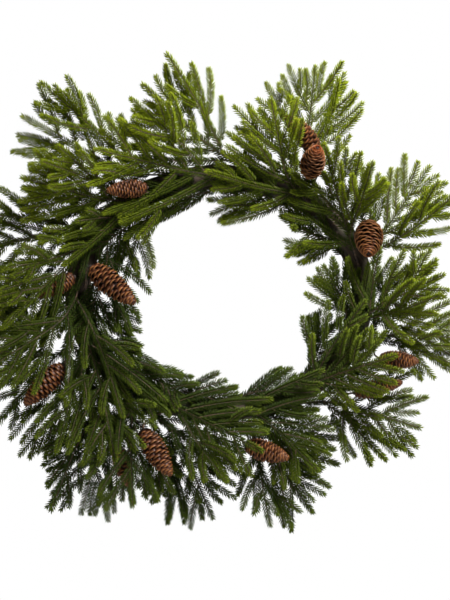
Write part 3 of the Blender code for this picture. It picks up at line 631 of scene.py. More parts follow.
# %% The streak group
def build_streaks():
    group, start, end = value_group(
        "streaks",
        (("Vector", "NodeSocketVector", None), ("Scale", "NodeSocketFloat", 60.0),
         ("Stretch", "NodeSocketVector", (1.0, 1.0, 0.08))),
        ("Height", "Crack"),
    )
    squeeze = add_node(group, "ShaderNodeVectorMath", operation="MULTIPLY")
    fibre = add_node(group, "ShaderNodeTexNoise")
    fibre.inputs["Detail"].default_value = 6.0
    fibre.inputs["Roughness"].default_value = 0.65
    crack = add_node(group, "ShaderNodeMapRange")
    crack.inputs["From Min"].default_value = 0.36
    crack.inputs["From Max"].default_value = 0.52
    group.links.new(start.outputs["Vector"], squeeze.inputs[0])
    group.links.new(start.outputs["Stretch"], squeeze.inputs[1])
    group.links.new(squeeze.outputs["Vector"], fibre.inputs["Vector"])
    group.links.new(start.outputs["Scale"], fibre.inputs["Scale"])
    group.links.new(fibre.outputs["Fac"], crack.inputs["Value"])
    group.links.new(fibre.outputs["Fac"], end.inputs["Height"])
    group.links.new(crack.outputs["Result"], end.inputs["Crack"])
    return group


STREAKS = build_streaks()
print("shared effects:", MOTTLE.name, "and", STREAKS.name)


# %% Material helpers
def new_material(name, roughness, metallic=0.0, specular=0.5):
    made = bpy.data.materials.new(name)
    made.use_nodes = True
    shader = made.node_tree.nodes["Principled BSDF"]
    shader.inputs["Roughness"].default_value = roughness
    shader.inputs["Metallic"].default_value = metallic
    shader.inputs["Specular IOR Level"].default_value = specular
    return made, made.node_tree, shader


def group_node(tree, group, vector=None, **values):
    node = add_node(tree, "ShaderNodeGroup", node_tree=group)
    if vector is not None:
        tree.links.new(vector, node.inputs["Vector"])
    for label, value in values.items():
        node.inputs[label].default_value = value
    return node


def coordinates(tree):
    return add_node(tree, "ShaderNodeTexCoord").outputs["Object"]


def attribute(tree, name, output="Fac"):
    return add_node(tree, "ShaderNodeAttribute", attribute_name=name).outputs[output]


def mix_colour(tree, share, first, second):
    """Mixes two colours, each a tuple or a socket, by a share that is a number or a socket."""
    node = add_node(tree, "ShaderNodeMix", data_type="RGBA")
    for value, socket in ((share, node.inputs[0]), (first, node.inputs[6]),
                          (second, node.inputs[7])):
        if isinstance(value, bpy.types.NodeSocket):
            tree.links.new(value, socket)
        elif isinstance(value, tuple):
            socket.default_value = (*value, 1.0)
        else:
            socket.default_value = value
    return node.outputs[2]


def scaled(tree, value, low, high):
    """A 0 to 1 value brought to a range of low to high."""
    node = add_node(tree, "ShaderNodeMapRange")
    node.inputs["To Min"].default_value = low
    node.inputs["To Max"].default_value = high
    tree.links.new(value, node.inputs["Value"])
    return node.outputs["Result"]


def bump(tree, shader, height, strength, distance):
    node = add_node(tree, "ShaderNodeBump")
    node.inputs["Strength"].default_value = strength
    node.inputs["Distance"].default_value = distance
    tree.links.new(height, node.inputs["Height"])
    tree.links.new(node.outputs["Normal"], shader.inputs["Normal"])


# %% [markdown]
# ## Finishes
#
# Needles are waxy and take their colour from four numbers stored on each of them:
# how far along the needle a point is, how much painted light its place gets, how
# close it grows to the tip of its shoot, and a draw of its own. New growth at the
# tips is the lightest. Painted shade darkens the foot of each needle and the
# needles close to the ring; painted light makes the sprays at the top right
# lighter than those at the bottom left. Bark is dark, streaked along the stem and
# mossy in patches. Cone scales are red-brown, with painted shade where they are
# tucked in, lighter along their lips, and a red painted highlight at the tips of
# some cones.

# %% Needles
def needle_material():
    made, tree, shader = new_material("spruce_needles", 0.50, specular=0.10)
    along = attribute(tree, "along")
    painted_light = attribute(tree, "painted_light")
    draw = attribute(tree, "draw")
    # painted light and painted shade: by the share stored on each needle, older needles go from a
    # shaded to a lit green, and new growth at the tips from a shaded to a lit light green
    shade = mix_colour(tree, painted_light, NEEDLE_OLD_PAINTED_SHADE, NEEDLE_OLD_PAINTED_LIGHT)
    fresh = mix_colour(tree, painted_light, NEEDLE_NEW_PAINTED_SHADE, NEEDLE_NEW_PAINTED_LIGHT)
    young = mix_colour(tree, attribute(tree, "young"), shade, fresh)
    # painted shade at the foot of each needle, where it meets its shoot
    needle_foot_painted_shade = mix_colour(tree, scaled(tree, along, 0.75, -0.25), young, NEEDLE_DARK_AND_PAINTED_SHADE)
    # the same dark green gives some needles a darker tone of their own at random
    varied = mix_colour(tree, scaled(tree, draw, 0.0, 0.60), needle_foot_painted_shade, NEEDLE_DARK_AND_PAINTED_SHADE)
    tree.links.new(varied, shader.inputs["Base Color"])
    spots = group_node(tree, MOTTLE, coordinates(tree), Scale=900.0)
    tree.links.new(scaled(tree, spots.outputs["Raw"], 0.38, 0.66), shader.inputs["Roughness"])
    return made


# greens of older needles in painted shade and in painted light, then of new growth in painted shade
# and in painted light
NEEDLE_OLD_PAINTED_SHADE = (0.018, 0.031, 0.003)
NEEDLE_OLD_PAINTED_LIGHT = (0.150, 0.190, 0.003)
NEEDLE_NEW_PAINTED_SHADE = (0.074, 0.105, 0.007)
NEEDLE_NEW_PAINTED_LIGHT = (0.240, 0.285, 0.008)
# a dark green: painted shade at the needles' feet, and a darker tone that some needles have at
# random
NEEDLE_DARK_AND_PAINTED_SHADE = (0.009, 0.018, 0.003)
NEEDLES = needle_material()


# %% Twig bark
def twig_material():
    made, tree, shader = new_material("twig_bark", 0.72)
    place = coordinates(tree)
    patches = group_node(tree, MOTTLE, place, Scale=260.0, Low=0.38, High=0.62)
    brown = mix_colour(tree, patches.outputs["Mask"], (0.020, 0.011, 0.006), (0.085, 0.046, 0.022))
    young = mix_colour(tree, attribute(tree, "young"), brown, (0.125, 0.085, 0.030))
    tree.links.new(young, shader.inputs["Base Color"])
    bump(tree, shader, patches.outputs["Raw"], 0.5, 0.0006)
    return made


TWIG_BARK = twig_material()


# %% Vine bark
def vine_material():
    made, tree, shader = new_material("vine_bark", 0.88)
    grain = attribute(tree, "grain", "Vector")
    fibres = group_node(tree, STREAKS, grain, Scale=420.0, Stretch=(1.0, 1.0, 0.10))
    patches = group_node(tree, MOTTLE, coordinates(tree), Scale=38.0, Low=0.48, High=0.66)
    brown = mix_colour(tree, fibres.outputs["Crack"], (0.005, 0.003, 0.002), (0.040, 0.024, 0.014))
    worn = mix_colour(tree, scaled(tree, fibres.outputs["Height"], -0.6, 0.7), brown,
                      (0.060, 0.039, 0.024))
    mossy = mix_colour(tree, scaled(tree, patches.outputs["Mask"], 0.0, 0.5), worn,
                       (0.016, 0.024, 0.006))
    tree.links.new(mossy, shader.inputs["Base Color"])
    bump(tree, shader, fibres.outputs["Height"], 0.9, 0.0016)
    return made


VINE_BARK = vine_material()


# %% Cone scales
def scale_material():
    made, tree, shader = new_material("cone_scales", 0.48, specular=0.18)
    along = attribute(tree, "along")
    # painted shade at the foot of each scale, where the scales above cover it
    scale_foot_painted_shade = mix_colour(tree, scaled(tree, along, -0.8, 1.0), SCALE_DARK_AND_PAINTED_SHADE, SCALE_MIDDLE)
    lip = add_node(tree, "ShaderNodeMapRange", interpolation_type="SMOOTHSTEP")
    lip.inputs["From Min"].default_value = 0.80
    lip.inputs["From Max"].default_value = 1.0
    tree.links.new(along, lip.inputs["Value"])
    lipped = mix_colour(tree, lip.outputs["Result"], scale_foot_painted_shade, SCALE_LIP)
    varied = mix_colour(tree, scaled(tree, attribute(tree, "draw"), 0.0, 0.45), lipped,
                        SCALE_DARK_AND_PAINTED_SHADE)
    # a red painted highlight on the scales near the tips of some cones
    tip_painted_highlight = mix_colour(tree, attribute(tree, "painted_light"), varied, SCALE_PAINTED_HIGHLIGHT)
    tree.links.new(tip_painted_highlight, shader.inputs["Base Color"])
    fibres = group_node(tree, STREAKS, attribute(tree, "grain", "Vector"), Scale=500.0,
                        Stretch=(1.0, 0.12, 1.0))
    tree.links.new(scaled(tree, fibres.outputs["Height"], 0.25, 0.65), shader.inputs["Roughness"])
    bump(tree, shader, fibres.outputs["Height"], 0.35, 0.0005)
    return made


# the first colour is both painted shade at the foot of each scale and a darker tone that some scales
# have at random
SCALE_DARK_AND_PAINTED_SHADE = (0.010, 0.004, 0.002)
SCALE_MIDDLE = (0.090, 0.025, 0.008)
SCALE_LIP = (0.185, 0.074, 0.020)
# the colour of the red painted highlight at cone tips
SCALE_PAINTED_HIGHLIGHT = (0.200, 0.036, 0.004)
CONE_SCALES = scale_material()


# %% Cone hearts in painted shade, and wire
def heart_painted_shade_material():
    made, tree, shader = new_material("cone_heart_painted_shade", 0.8)
    patches = group_node(tree, MOTTLE, coordinates(tree), Scale=300.0)
    # near-black painted shade, mottled a little
    colour = mix_colour(tree, patches.outputs["Mask"], (0.006, 0.003, 0.002), (0.028, 0.012, 0.007))
    tree.links.new(colour, shader.inputs["Base Color"])
    return made


def wire_material():
    made, tree, shader = new_material("florist_wire", 0.42, metallic=0.2)
    patches = group_node(tree, MOTTLE, coordinates(tree), Scale=140.0, Low=0.55, High=0.68)
    colour = mix_colour(tree, patches.outputs["Mask"], (0.018, 0.035, 0.014), (0.07, 0.06, 0.045))
    tree.links.new(colour, shader.inputs["Base Color"])
    tree.links.new(scaled(tree, patches.outputs["Raw"], 0.3, 0.6), shader.inputs["Roughness"])
    return made


CONE_HEART_PAINTED_SHADE = heart_painted_shade_material()
WIRE = wire_material()
FINISHES = (NEEDLES, TWIG_BARK, VINE_BARK, CONE_SCALES, CONE_HEART_PAINTED_SHADE, WIRE)
print("finishes:", [made.name for made in FINISHES])

# %% [markdown]
# ## Helpers that make pieces
#
# Stems, vines and wire are tubes along a line, so they start as curves with a round
# bevel, and are turned into meshes at once. Needles and scales are each modelled
# once with mesh operators, and then laid out in arrays: a row of numbers for each
# copy says where it starts, which way it points and how large it is.

# %% Tubes
def tube_mesh(name, lines, sides, closed=False):
    """A mesh of round tubes; each line is a list of points and a list of radii."""
    curve = bpy.data.curves.new(name, "CURVE")
    curve.dimensions = "3D"
    curve.bevel_depth = 1.0
    curve.bevel_resolution = max(0, sides // 2 - 2)
    curve.use_fill_caps = not closed
    for points, radii in lines:
        line = curve.splines.new("POLY")
        line.points.add(len(points) - 1)
        line.points.foreach_set("co", np.c_[points, np.ones(len(points))].ravel())
        line.points.foreach_set("radius", np.asarray(radii, dtype=float))
        line.use_cyclic_u = closed
        line.use_smooth = True
    guide = bpy.data.objects.new(name, curve)
    bpy.context.scene.collection.objects.link(guide)
    ready = guide.evaluated_get(bpy.context.evaluated_depsgraph_get())
    mesh = bpy.data.meshes.new_from_object(ready)
    bpy.data.objects.remove(guide)
    bpy.data.curves.remove(curve)
    return mesh


# %% Attributes
def set_values(mesh, name, values):
    """Stores a number for each point of a mesh."""
    layer = mesh.attributes.new(name, "FLOAT", "POINT")
    layer.data.foreach_set("value", np.ascontiguousarray(values, dtype=np.float32))


def set_vectors(mesh, name, values):
    layer = mesh.attributes.new(name, "FLOAT_VECTOR", "POINT")
    layer.data.foreach_set("vector", np.ascontiguousarray(values, dtype=np.float32).ravel())


def mesh_points(mesh):
    points = np.empty(3 * len(mesh.vertices), dtype=np.float32)
    mesh.vertices.foreach_get("co", points)
    return points.reshape(-1, 3).astype(float)


# %% Copies of a small shape
def read_shape(bm):
    """Corners and triangles of a small shape that is ready to be copied."""
    bmesh.ops.triangulate(bm, faces=bm.faces)
    bm.verts.index_update()
    corners = np.array([vertex.co[:] for vertex in bm.verts])
    faces = np.array([[vertex.index for vertex in face.verts] for face in bm.faces])
    bm.free()
    return corners, faces


def copies_mesh(name, placed, faces):
    """A mesh of copies: placed is an array of copies by corners by three coordinates."""
    copies, corners = placed.shape[:2]
    mesh = bpy.data.meshes.new(name)
    mesh.vertices.add(copies * corners)
    mesh.vertices.foreach_set("co", placed.astype(np.float32).ravel())
    corner_of = (faces[None] + corners * np.arange(copies)[:, None, None]).ravel()
    mesh.loops.add(len(corner_of))
    mesh.loops.foreach_set("vertex_index", corner_of.astype(np.int32))
    mesh.polygons.add(len(corner_of) // 3)
    mesh.polygons.foreach_set("loop_start", np.arange(0, len(corner_of), 3, dtype=np.int32))
    mesh.update(calc_edges=True)
    return mesh


# %% Pieces
def shade_smooth(mesh):
    mesh.polygons.foreach_set("use_smooth", np.ones(len(mesh.polygons), dtype=bool))


def make_piece(name, parts, node):
    """Joins meshes, each with its material, into one piece that stands for a solid."""
    made = []
    for mesh, finish in parts:
        mesh.materials.clear()
        mesh.materials.append(finish)
        shade_smooth(mesh)
        thing = bpy.data.objects.new(name, mesh)
        bpy.context.scene.collection.objects.link(thing)
        made.append(thing)
    with bpy.context.temp_override(active_object=made[0], selected_editable_objects=made,
                                   selected_objects=made, object=made[0]):
        if len(made) > 1:
            bpy.ops.object.join()
    piece = made[0]
    piece.name = name
    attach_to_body(piece, "root")
    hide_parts(node)
    return piece


def triangles(piece):
    return sum(len(face.vertices) - 2 for face in piece.data.polygons)


# %% [markdown]
# ## The vine ring
#
# The ring is five thick vines wound round each other. Each is a closed tube that
# winds along the ring, roughened by noise drawn out along the vine so that it looks
# like ridges of bark. Three thin vines wind over them the other way, and curls of
# loose bark and tendrils stand off the ring.

# %% Values of the vines
VINE_STEPS = 220
THICK_VINE = 0.0098
THICK_OFFSET = 0.0108
THIN_VINES = 3
THIN_VINE = 0.0028
THIN_TURNS = -4
THIN_SINK = 0.0022           # of thin vines' middles and curls' feet, below the crests
CURLS = 60


# %% Vines
def vine_line(number, offset, radius, turns, strands, wander):
    """Middle line and radii of a vine that winds round the ring."""
    points, radii = [], []
    for step in range(VINE_STEPS):
        angle = step * math.tau / VINE_STEPS
        side = number * math.tau / strands + turns * angle
        sway = wander * math.sin(5 * angle + 2.1 * number)
        points.append(ring_point(angle, side + 0.12 * sway / wander, offset + sway))
        radii.append(radius * (1.0 + 0.05 * math.sin(9 * angle + 1.7 * number)))
    return np.array(points), np.array(radii)


def roughen(mesh, middle, depth, closed_steps):
    """Pushes a tube's points in and out, in ridges along the vine, and stores its grain."""
    points = mesh_points(mesh)
    angle = oval_angles(points)
    step = np.round((angle % math.tau) * closed_steps / math.tau).astype(int) % closed_steps
    away = points - middle[step]
    away /= np.linalg.norm(away, axis=1)[:, None] + 1e-9
    out = np.c_[np.cos(angle), np.zeros(len(angle)), np.sin(angle)]
    turn = np.arctan2(-away[:, 1], (away * out).sum(axis=1))
    turn = turn - STRAND_TURNS * angle
    grain = np.c_[0.010 * np.cos(turn), 0.010 * np.sin(turn), 0.21 * angle]
    ridges = np.array([
        noise.noise(Vector((380 * g[0], 380 * g[1], 26 * g[2])))
        + 0.5 * noise.noise(Vector((800 * g[0], 800 * g[1], 60 * g[2])))
        for g in grain
    ])
    points += away * (depth * ridges)[:, None]
    mesh.vertices.foreach_set("co", points.astype(np.float32).ravel())
    set_vectors(mesh, "grain", grain)
    return mesh


def build_vines():
    parts = []
    for number in range(STRANDS):
        line, radii = vine_line(number, THICK_OFFSET, THICK_VINE, STRAND_TURNS, STRANDS, 0.0005)
        tube = tube_mesh("vine", [(line, radii)], 20, closed=True)
        parts.append((roughen(tube, line, 0.0011, VINE_STEPS), VINE_BARK))
    for number in range(THIN_VINES):
        line, radii = vine_line(number, VINE_RADIUS - THIN_SINK, THIN_VINE, THIN_TURNS,
                                THIN_VINES, 0.0009)
        tube = tube_mesh("vine", [(line, radii)], 10, closed=True)
        parts.append((roughen(tube, line, 0.0005, VINE_STEPS), VINE_BARK))
    return parts


# %% Tendrils and curls of bark
def curl_lines(rng):
    """Short curls that spring off the ring here and there, mostly at its back and inside."""
    lines = []
    for _ in range(CURLS):
        angle = rng.uniform(0, math.tau)
        side = rng.uniform(math.radians(120), math.radians(300))
        run = ring_tangent(angle) * rng.choice((-1.0, 1.0))
        out = ring_side(angle, side)
        length = rng.uniform(0.008, 0.022)
        lift = rng.uniform(0.15, 0.55)
        points = []
        for step in range(7):
            share = step / 6
            rise = lift * length * math.sin(math.pi * 0.8 * share)
            points.append(ring_point(angle, side, VINE_RADIUS - THIN_SINK)
                          + run * length * share + out * rise)
        lines.append((np.array(points), np.linspace(0.0008, 0.0003, 7)))
    return lines


def build_tendrils():
    lines = []
    for places in TENDRILS:
        points = np.array(tendril_points(places, 36))
        lines.append((points, np.linspace(1.0, 0.55, 36) * TENDRIL_RADIUS))
    lines += curl_lines(np.random.default_rng(SEED + 5))
    mesh = tube_mesh("tendrils", lines, 8)
    set_vectors(mesh, "grain", mesh_points(mesh))
    return mesh


ring_piece = make_piece("twisted_vines", build_vines() + [(build_tendrils(), VINE_BARK)],
                        "vine_ring")
print("vines", triangles(ring_piece), "triangles")

# %% [markdown]
# ## The binding wire
#
# One length of thin wire goes round and round the ring, over the tail of each
# spray. It is a helix through the same places as the solid, with more of them, so
# that it rounds the vine instead of cutting corners.

# %% Wire
def wire_places():
    over = STEM_LIFT + STEM_RADIUS + WIRE_RADIUS + WIRE_SLACK
    behind = VINE_RADIUS + WIRE_BACK_LIFT
    stems = [math.degrees(side) for side, _, _, _ in ROWS.values()]
    knots = sorted([(side, over) for side in stems]
                   + [(side, behind) for side in (187, 229, 270, 311, 353)])
    sides = np.array([side for side, _ in knots])
    lifts = np.array([lift for _, lift in knots])
    return np.r_[sides - 360, sides, sides + 360], np.r_[lifts, lifts, lifts]


def build_wire():
    sides, lifts = wire_places()
    points = []
    for degree in np.arange(145, 360 * STATIONS - 8, 12):
        angle = station_angle(degree / 360)
        lift = np.interp(degree % 360, sides, lifts)
        points.append(ring_point(angle, math.radians(degree), lift))
    return tube_mesh("wire", [(np.array(points), np.full(len(points), WIRE_RADIUS))], 8)


wire_piece = make_piece("wound_wire", [(build_wire(), WIRE)], "binding_wire")
print("wire", triangles(wire_piece), "triangles")

# %% [markdown]
# ## One needle
#
# A spruce needle is a slim spindle, under two millimetres wide and twelve long. At
# this size a ball with three sides and two rings is enough: six faces, with smooth
# shading. Its widest place is just past its middle, and the copies are laid out by
# arrays, because more than a hundred thousand of them grow on the wreath.

# %% Needle shape
NEEDLE_WIDEST = 0.55
NEEDLE_LENGTH = 0.0120
NEEDLE_HALF_WIDTH = 0.00110


def needle_shape():
    bm = bmesh.new()
    bmesh.ops.create_uvsphere(bm, u_segments=3, v_segments=2, radius=1.0)
    for vertex in bm.verts:
        share = 0.5 * (vertex.co.z + 1.0)
        vertex.co.z = NEEDLE_WIDEST if 0.2 < share < 0.8 else share
    return read_shape(bm)


NEEDLE_CORNERS, NEEDLE_FACES = needle_shape()
print("a needle has", len(NEEDLE_FACES), "faces")


# %% Directions square to a heading
def square_frames(headings):
    """Two directions square to each heading."""
    guide = np.where(np.abs(headings[:, 1:2]) < 0.9, FRONT, np.array((1.0, 0.0, 0.0)))
    across = np.cross(headings, guide)
    across /= np.linalg.norm(across, axis=1)[:, None]
    return across, np.cross(headings, across)


def along_line(points, shares):
    """Places and headings at shares of a line's length."""
    steps = np.linalg.norm(np.diff(points, axis=0), axis=1)
    length = np.r_[0.0, np.cumsum(steps)]
    wanted = np.asarray(shares) * length[-1]
    places = np.stack([np.interp(wanted, length, points[:, axis]) for axis in range(3)], axis=1)
    ahead = np.minimum(wanted + 0.003, length[-1])
    behind = ahead - 0.006
    headings = np.stack([
        np.interp(ahead, length, points[:, axis]) - np.interp(behind, length, points[:, axis])
        for axis in range(3)
    ], axis=1)
    return places, headings / (np.linalg.norm(headings, axis=1)[:, None] + 1e-12)


# %% [markdown]
# ## Shoots
#
# A spray is a small tree of shoots. The main stem carries side twigs, and the
# larger side twigs carry short ones of their own, so that the spray fans out flat
# like a feather. The lower side twigs also grow on past their ends. This extra
# growth is left out where it would run into a neighbour or the opening in the
# middle, pass in front of a cone, or cover the bare vine at the ring's foot.

# %% Room that the extra growth keeps
SHORT_TWIG_CLEARANCE = 0.0085     # between the middles of two shoots
HOLE_CLEARANCE = 0.006
RING_CLEARANCE = 0.006
BODY_CLEARANCE = 0.005            # off cones, stalks and tendrils
WALL_CLEARANCE = 0.004
BARE_FOOT_HALF_WIDTH = 0.130      # half the stretch of bare vine at the ring's foot
CONE_MIN_RADIUS = 0.008           # thicker bodies than this are cones
CONE_VIEW_MARGIN = 0.006          # round a cone, as seen from the front
CONE_DEPTH_MARGIN = 0.010         # growth this far behind a cone's base still counts


# %% Search tree of all shoots
def shoot_tree():
    points = np.concatenate((STEMS.reshape(-1, 3), TWIG_LINES.reshape(-1, 3)))
    owners = np.concatenate((np.repeat(np.arange(SPRAYS), MAIN_POINTS),
                             np.repeat(np.arange(SPRAYS), TWIGS * TWIG_POINTS)))
    tree = KDTree(len(points))
    for index, point in enumerate(points):
        tree.insert(point, index)
    tree.balance()
    return tree, owners


SHOOTS, SHOOT_OWNERS = shoot_tree()


def over_tendrils(points):
    """Whether points reach inside the ring at its foot, where bare vine and tendrils show."""
    near_foot = (np.abs(points[:, 0]) < BARE_FOOT_HALF_WIDTH) & (points[:, 2] < RING_CENTRE_Z)
    inside = np.hypot(points[:, 0] / (RING_HALF_WIDTH - VINE_RADIUS),
                      (points[:, 2] - RING_CENTRE_Z) / (RING_HALF_HEIGHT - VINE_RADIUS)) < 1.0
    return (near_foot & inside).any()


def over_a_cone(points):
    """Whether points pass in front of a cone, which was wired on last, over the sprays."""
    flat = points * (1.0, 0.0, 1.0)
    for start, end, radius in BODIES:
        in_front = points[:, 1].min() - CONE_DEPTH_MARGIN < start[1]
        if radius > CONE_MIN_RADIUS and in_front:
            low, high = start * (1.0, 0.0, 1.0), end * (1.0, 0.0, 1.0)
            if np.abs(capsule_push(flat, low, high, radius + CONE_VIEW_MARGIN)).max() > 0.0:
                return True
    return False


def has_room(points, owner):
    """Whether extra growth keeps off other sprays, solids and the opening, and hides nothing."""
    for point in points[2:]:
        for _, index, _ in SHOOTS.find_range(point, SHORT_TWIG_CLEARANCE):
            if SHOOT_OWNERS[index] != owner:
                return False
    sample = points[1:]
    if np.abs(hole_push(sample, HOLE_CLEARANCE)).max() > 0.0 or over_tendrils(sample):
        return False
    if over_a_cone(sample):
        return False
    if np.abs(ring_push(sample, VINE_RADIUS + RING_CLEARANCE)).max() > 0.0:
        return False
    for start, end, radius in BODIES:
        if np.abs(capsule_push(sample, start, end, radius + BODY_CLEARANCE)).max() > 0.0:
            return False
    nearest, farthest = sample[:, 1].min(), sample[:, 1].max()
    return FRONT_LIMIT + WALL_CLEARANCE < nearest and farthest < BACK_LIMIT - WALL_CLEARANCE


# %% Growth past the ends of side twigs
def lengthened(owner, number):
    """A side twig with its growth of this year, which fills the gap to the next spray."""
    line = TWIG_LINES[owner, number]
    step = line[-1] - line[-2]
    grown = [line[-1] + step * share for share in (1.0, 2.0, 3.0)]
    for count in range(3 - number // 2, 0, -1):
        if has_room(np.array([line[-2], *grown[:count]]), owner):
            return np.concatenate((line, grown[:count]))
    return line


# %% Short twigs
SHORT_TWIG_SHARES = (0.10, 0.22, 0.34, 0.46, 0.58, 0.68)
SHORT_TWIG_REACH = 0.085          # at most, before its draw
SHORT_TWIG_OF_REST = 0.85         # of what is left of its side twig
SHORT_TWIG_SHORTEST = 0.016       # shorter ones are left out


def short_twig(line, share, hand, rng):
    """A twig of the third order that leaves a side twig and bends along it."""
    length = np.linalg.norm(np.diff(line, axis=0), axis=1).sum()
    (place,), (heading,) = along_line(line, [share])
    flat = unit(np.cross(heading, FRONT))
    lift = np.cross(flat, heading)
    roll = math.radians(rng.uniform(-35, 35))
    sideways = math.cos(roll) * flat + math.sin(roll) * lift
    rest = SHORT_TWIG_OF_REST * length * (1.0 - share)
    reach = min(SHORT_TWIG_REACH, rest) * rng.uniform(0.80, 1.10)
    points = [place]
    for step in range(5):
        turn = math.radians(40 - 5 * step)
        points.append(points[-1] + 0.2 * reach * (math.cos(turn) * heading
                                                  + hand * math.sin(turn) * sideways))
    return np.array(points)


def dense_points(line):
    return along_line(line, np.linspace(0.0, 1.0, 24))[0]


def short_twigs(lines, owner, rng):
    """Short twigs of the third order, where a spray's own shoots leave room for them."""
    taken = [dense_points(line) for line in lines]
    made = []
    for number, line in enumerate(lines[1:]):
        for place, share in enumerate(SHORT_TWIG_SHARES):
            twig = short_twig(line, share, 1.0 if (number + place) % 2 else -1.0, rng)
            if np.linalg.norm(twig[-1] - twig[0]) < SHORT_TWIG_SHORTEST or not has_room(twig, owner):
                continue
            dense = dense_points(twig)
            gaps = dense[10:, None] - np.concatenate(taken)[None]
            if np.linalg.norm(gaps, axis=2).min() > SHORT_TWIG_CLEARANCE:
                made.append(twig)
                taken.append(dense)
    return made


STEM_TIP_RADIUS = 0.0009
SIDE_TWIG_RADII = (0.0013, 0.0007)               # at the foot and at the tip
SHORT_TWIG_RADII = (0.0009, 0.0006)
STEM_BARE = (TAIL_POINTS + 0.6) / MAIN_POINTS    # share of a shoot before its needles
SIDE_TWIG_BARE = 0.05
SHORT_TWIG_BARE = 0.08


def spray_shoots(owner, rng):
    """Line, radii at foot and tip, and bare share of each shoot of a spray."""
    lines = [STEMS[owner]] + [lengthened(owner, number) for number in range(TWIGS)]
    shoots = [(lines[0], STEM_RADIUS, STEM_TIP_RADIUS, STEM_BARE)]
    shoots += [(line, *SIDE_TWIG_RADII, SIDE_TWIG_BARE) for line in lines[1:]]
    shoots += [(line, *SHORT_TWIG_RADII, SHORT_TWIG_BARE)
               for line in short_twigs(lines, owner, rng)]
    return shoots


# %% [markdown]
# ## Needles on a shoot
#
# Needles stand round a shoot in eight rows, each three eighths of a turn on from the
# last. Along most of the shoot they stand well off it and lean forward. Towards its
# tip they shorten and close up round the bud. Those that would run into a cone, the
# ring or a tendril are left out, as if they had been rubbed off.

# %% Needles along one line
NEEDLE_SPACING = 0.00057
NEEDLE_LEAN = 47             # degrees off the run of the shoot
BUD_LENGTH = 0.006           # over which needles close up at a tip
YOUNG_LENGTH = 0.020         # over which the light new growth fades
RANK_TURN = math.tau * 3 / 8


def shoot_needles(points, bare, rng):
    """Feet, headings and sizes of a shoot's needles, with their distance to its tip."""
    length = np.linalg.norm(np.diff(points, axis=0), axis=1).sum()
    count = max(12, int(length * (1.0 - bare) / NEEDLE_SPACING))
    order = np.arange(count)
    shares = bare + (1.0 - bare) * (order + rng.uniform(-0.6, 0.6, count)) / count
    shares = np.clip(shares, 0.0, 1.0)
    feet, runs = along_line(points, shares)
    across, up = square_frames(runs)
    turn = order * RANK_TURN + rng.uniform(0, math.tau) + rng.uniform(-0.10, 0.10, count)
    outward = np.cos(turn)[:, None] * across + np.sin(turn)[:, None] * up
    to_tip = (1.0 - shares) * length
    closing = np.exp(-to_tip / BUD_LENGTH)
    lean = np.radians(NEEDLE_LEAN + rng.normal(0, 3.0, count)) * (1.0 - 0.55 * closing)
    headings = np.cos(lean)[:, None] * runs + np.sin(lean)[:, None] * outward
    size = NEEDLE_LENGTH * rng.uniform(0.86, 1.06, count) * (1.0 - 0.28 * closing)
    return feet, headings, size, to_tip


def clear_of_solids(tips):
    """Which needle tips are outside the cones, stalks, tendrils and ring."""
    keep = np.abs(ring_push(tips, VINE_RADIUS - 0.001)).max(axis=1) == 0.0
    for start, end, radius in BODIES:
        keep &= np.abs(capsule_push(tips, start, end, radius)).max(axis=1) == 0.0
    return keep


def ring_painted_shade(places):
    """Painted shade: 0.15 for needles that grow close to the ring, where other needles would shade
    them, to 1 outside; it darkens their colour.
    """
    return np.interp(np.linalg.norm(from_centre(places), axis=1), (0.035, 0.105), (0.15, 1.0))


# %% Needles of a whole spray
def needles_mesh(shoots, painted_light, rng):
    feet, headings, size, to_tip = (
        np.concatenate(columns) for columns in zip(*[
            shoot_needles(points, bare, rng) for points, _, _, bare in shoots
        ])
    )
    keep = clear_of_solids(feet + headings * size[:, None])
    feet, headings, size, to_tip = feet[keep], headings[keep], size[keep], to_tip[keep]
    across, up = square_frames(headings)
    corners = NEEDLE_CORNERS
    placed = feet[:, None] + headings[:, None] * (corners[:, 2] * size[:, None])[..., None]
    placed = placed + NEEDLE_HALF_WIDTH * (across[:, None] * corners[:, 0, None]
                                           + up[:, None] * corners[:, 1, None])
    mesh = copies_mesh("needles", placed, NEEDLE_FACES)
    many = len(corners)
    set_values(mesh, "along", np.tile(corners[:, 2], len(feet)))
    set_values(mesh, "draw", np.repeat(rng.uniform(0, 1, len(feet)) ** 2, many))
    young = np.exp(-to_tip / YOUNG_LENGTH)
    set_values(mesh, "young", np.repeat(young, many))
    # painted light of the spray, with painted shade on needles that grow close to the ring
    set_values(mesh, "painted_light", np.repeat(painted_light * ring_painted_shade(feet), many))
    return mesh


def stems_mesh(shoots):
    lines = []
    for points, thick, thin, _ in shoots:
        lines.append((points, np.linspace(thick, thin, len(points))))
    mesh = tube_mesh("stems", lines, 6)
    set_values(mesh, "young", np.zeros(len(mesh.vertices)))
    return mesh


# %% How much painted light each spray gets
def spray_painted_light(name, owner):
    """Painted light: sprays at the top and right are lighter and those at the bottom left darker, as
    the key light falls; inner sprays are darker and front sprays lighter.
    """
    middle = STEMS[owner, MAIN_POINTS // 2 + 2]
    angle = math.atan2((middle[2] - RING_CENTRE_Z) / RING_HALF_HEIGHT, middle[0] / RING_HALF_WIDTH)
    lit_share = 0.46 + 0.46 * math.cos(angle - math.radians(66))
    if "inner" in name:
        lit_share -= 0.16
    if "front" in name:
        lit_share += 0.08
    return min(1.0, max(0.0, lit_share))


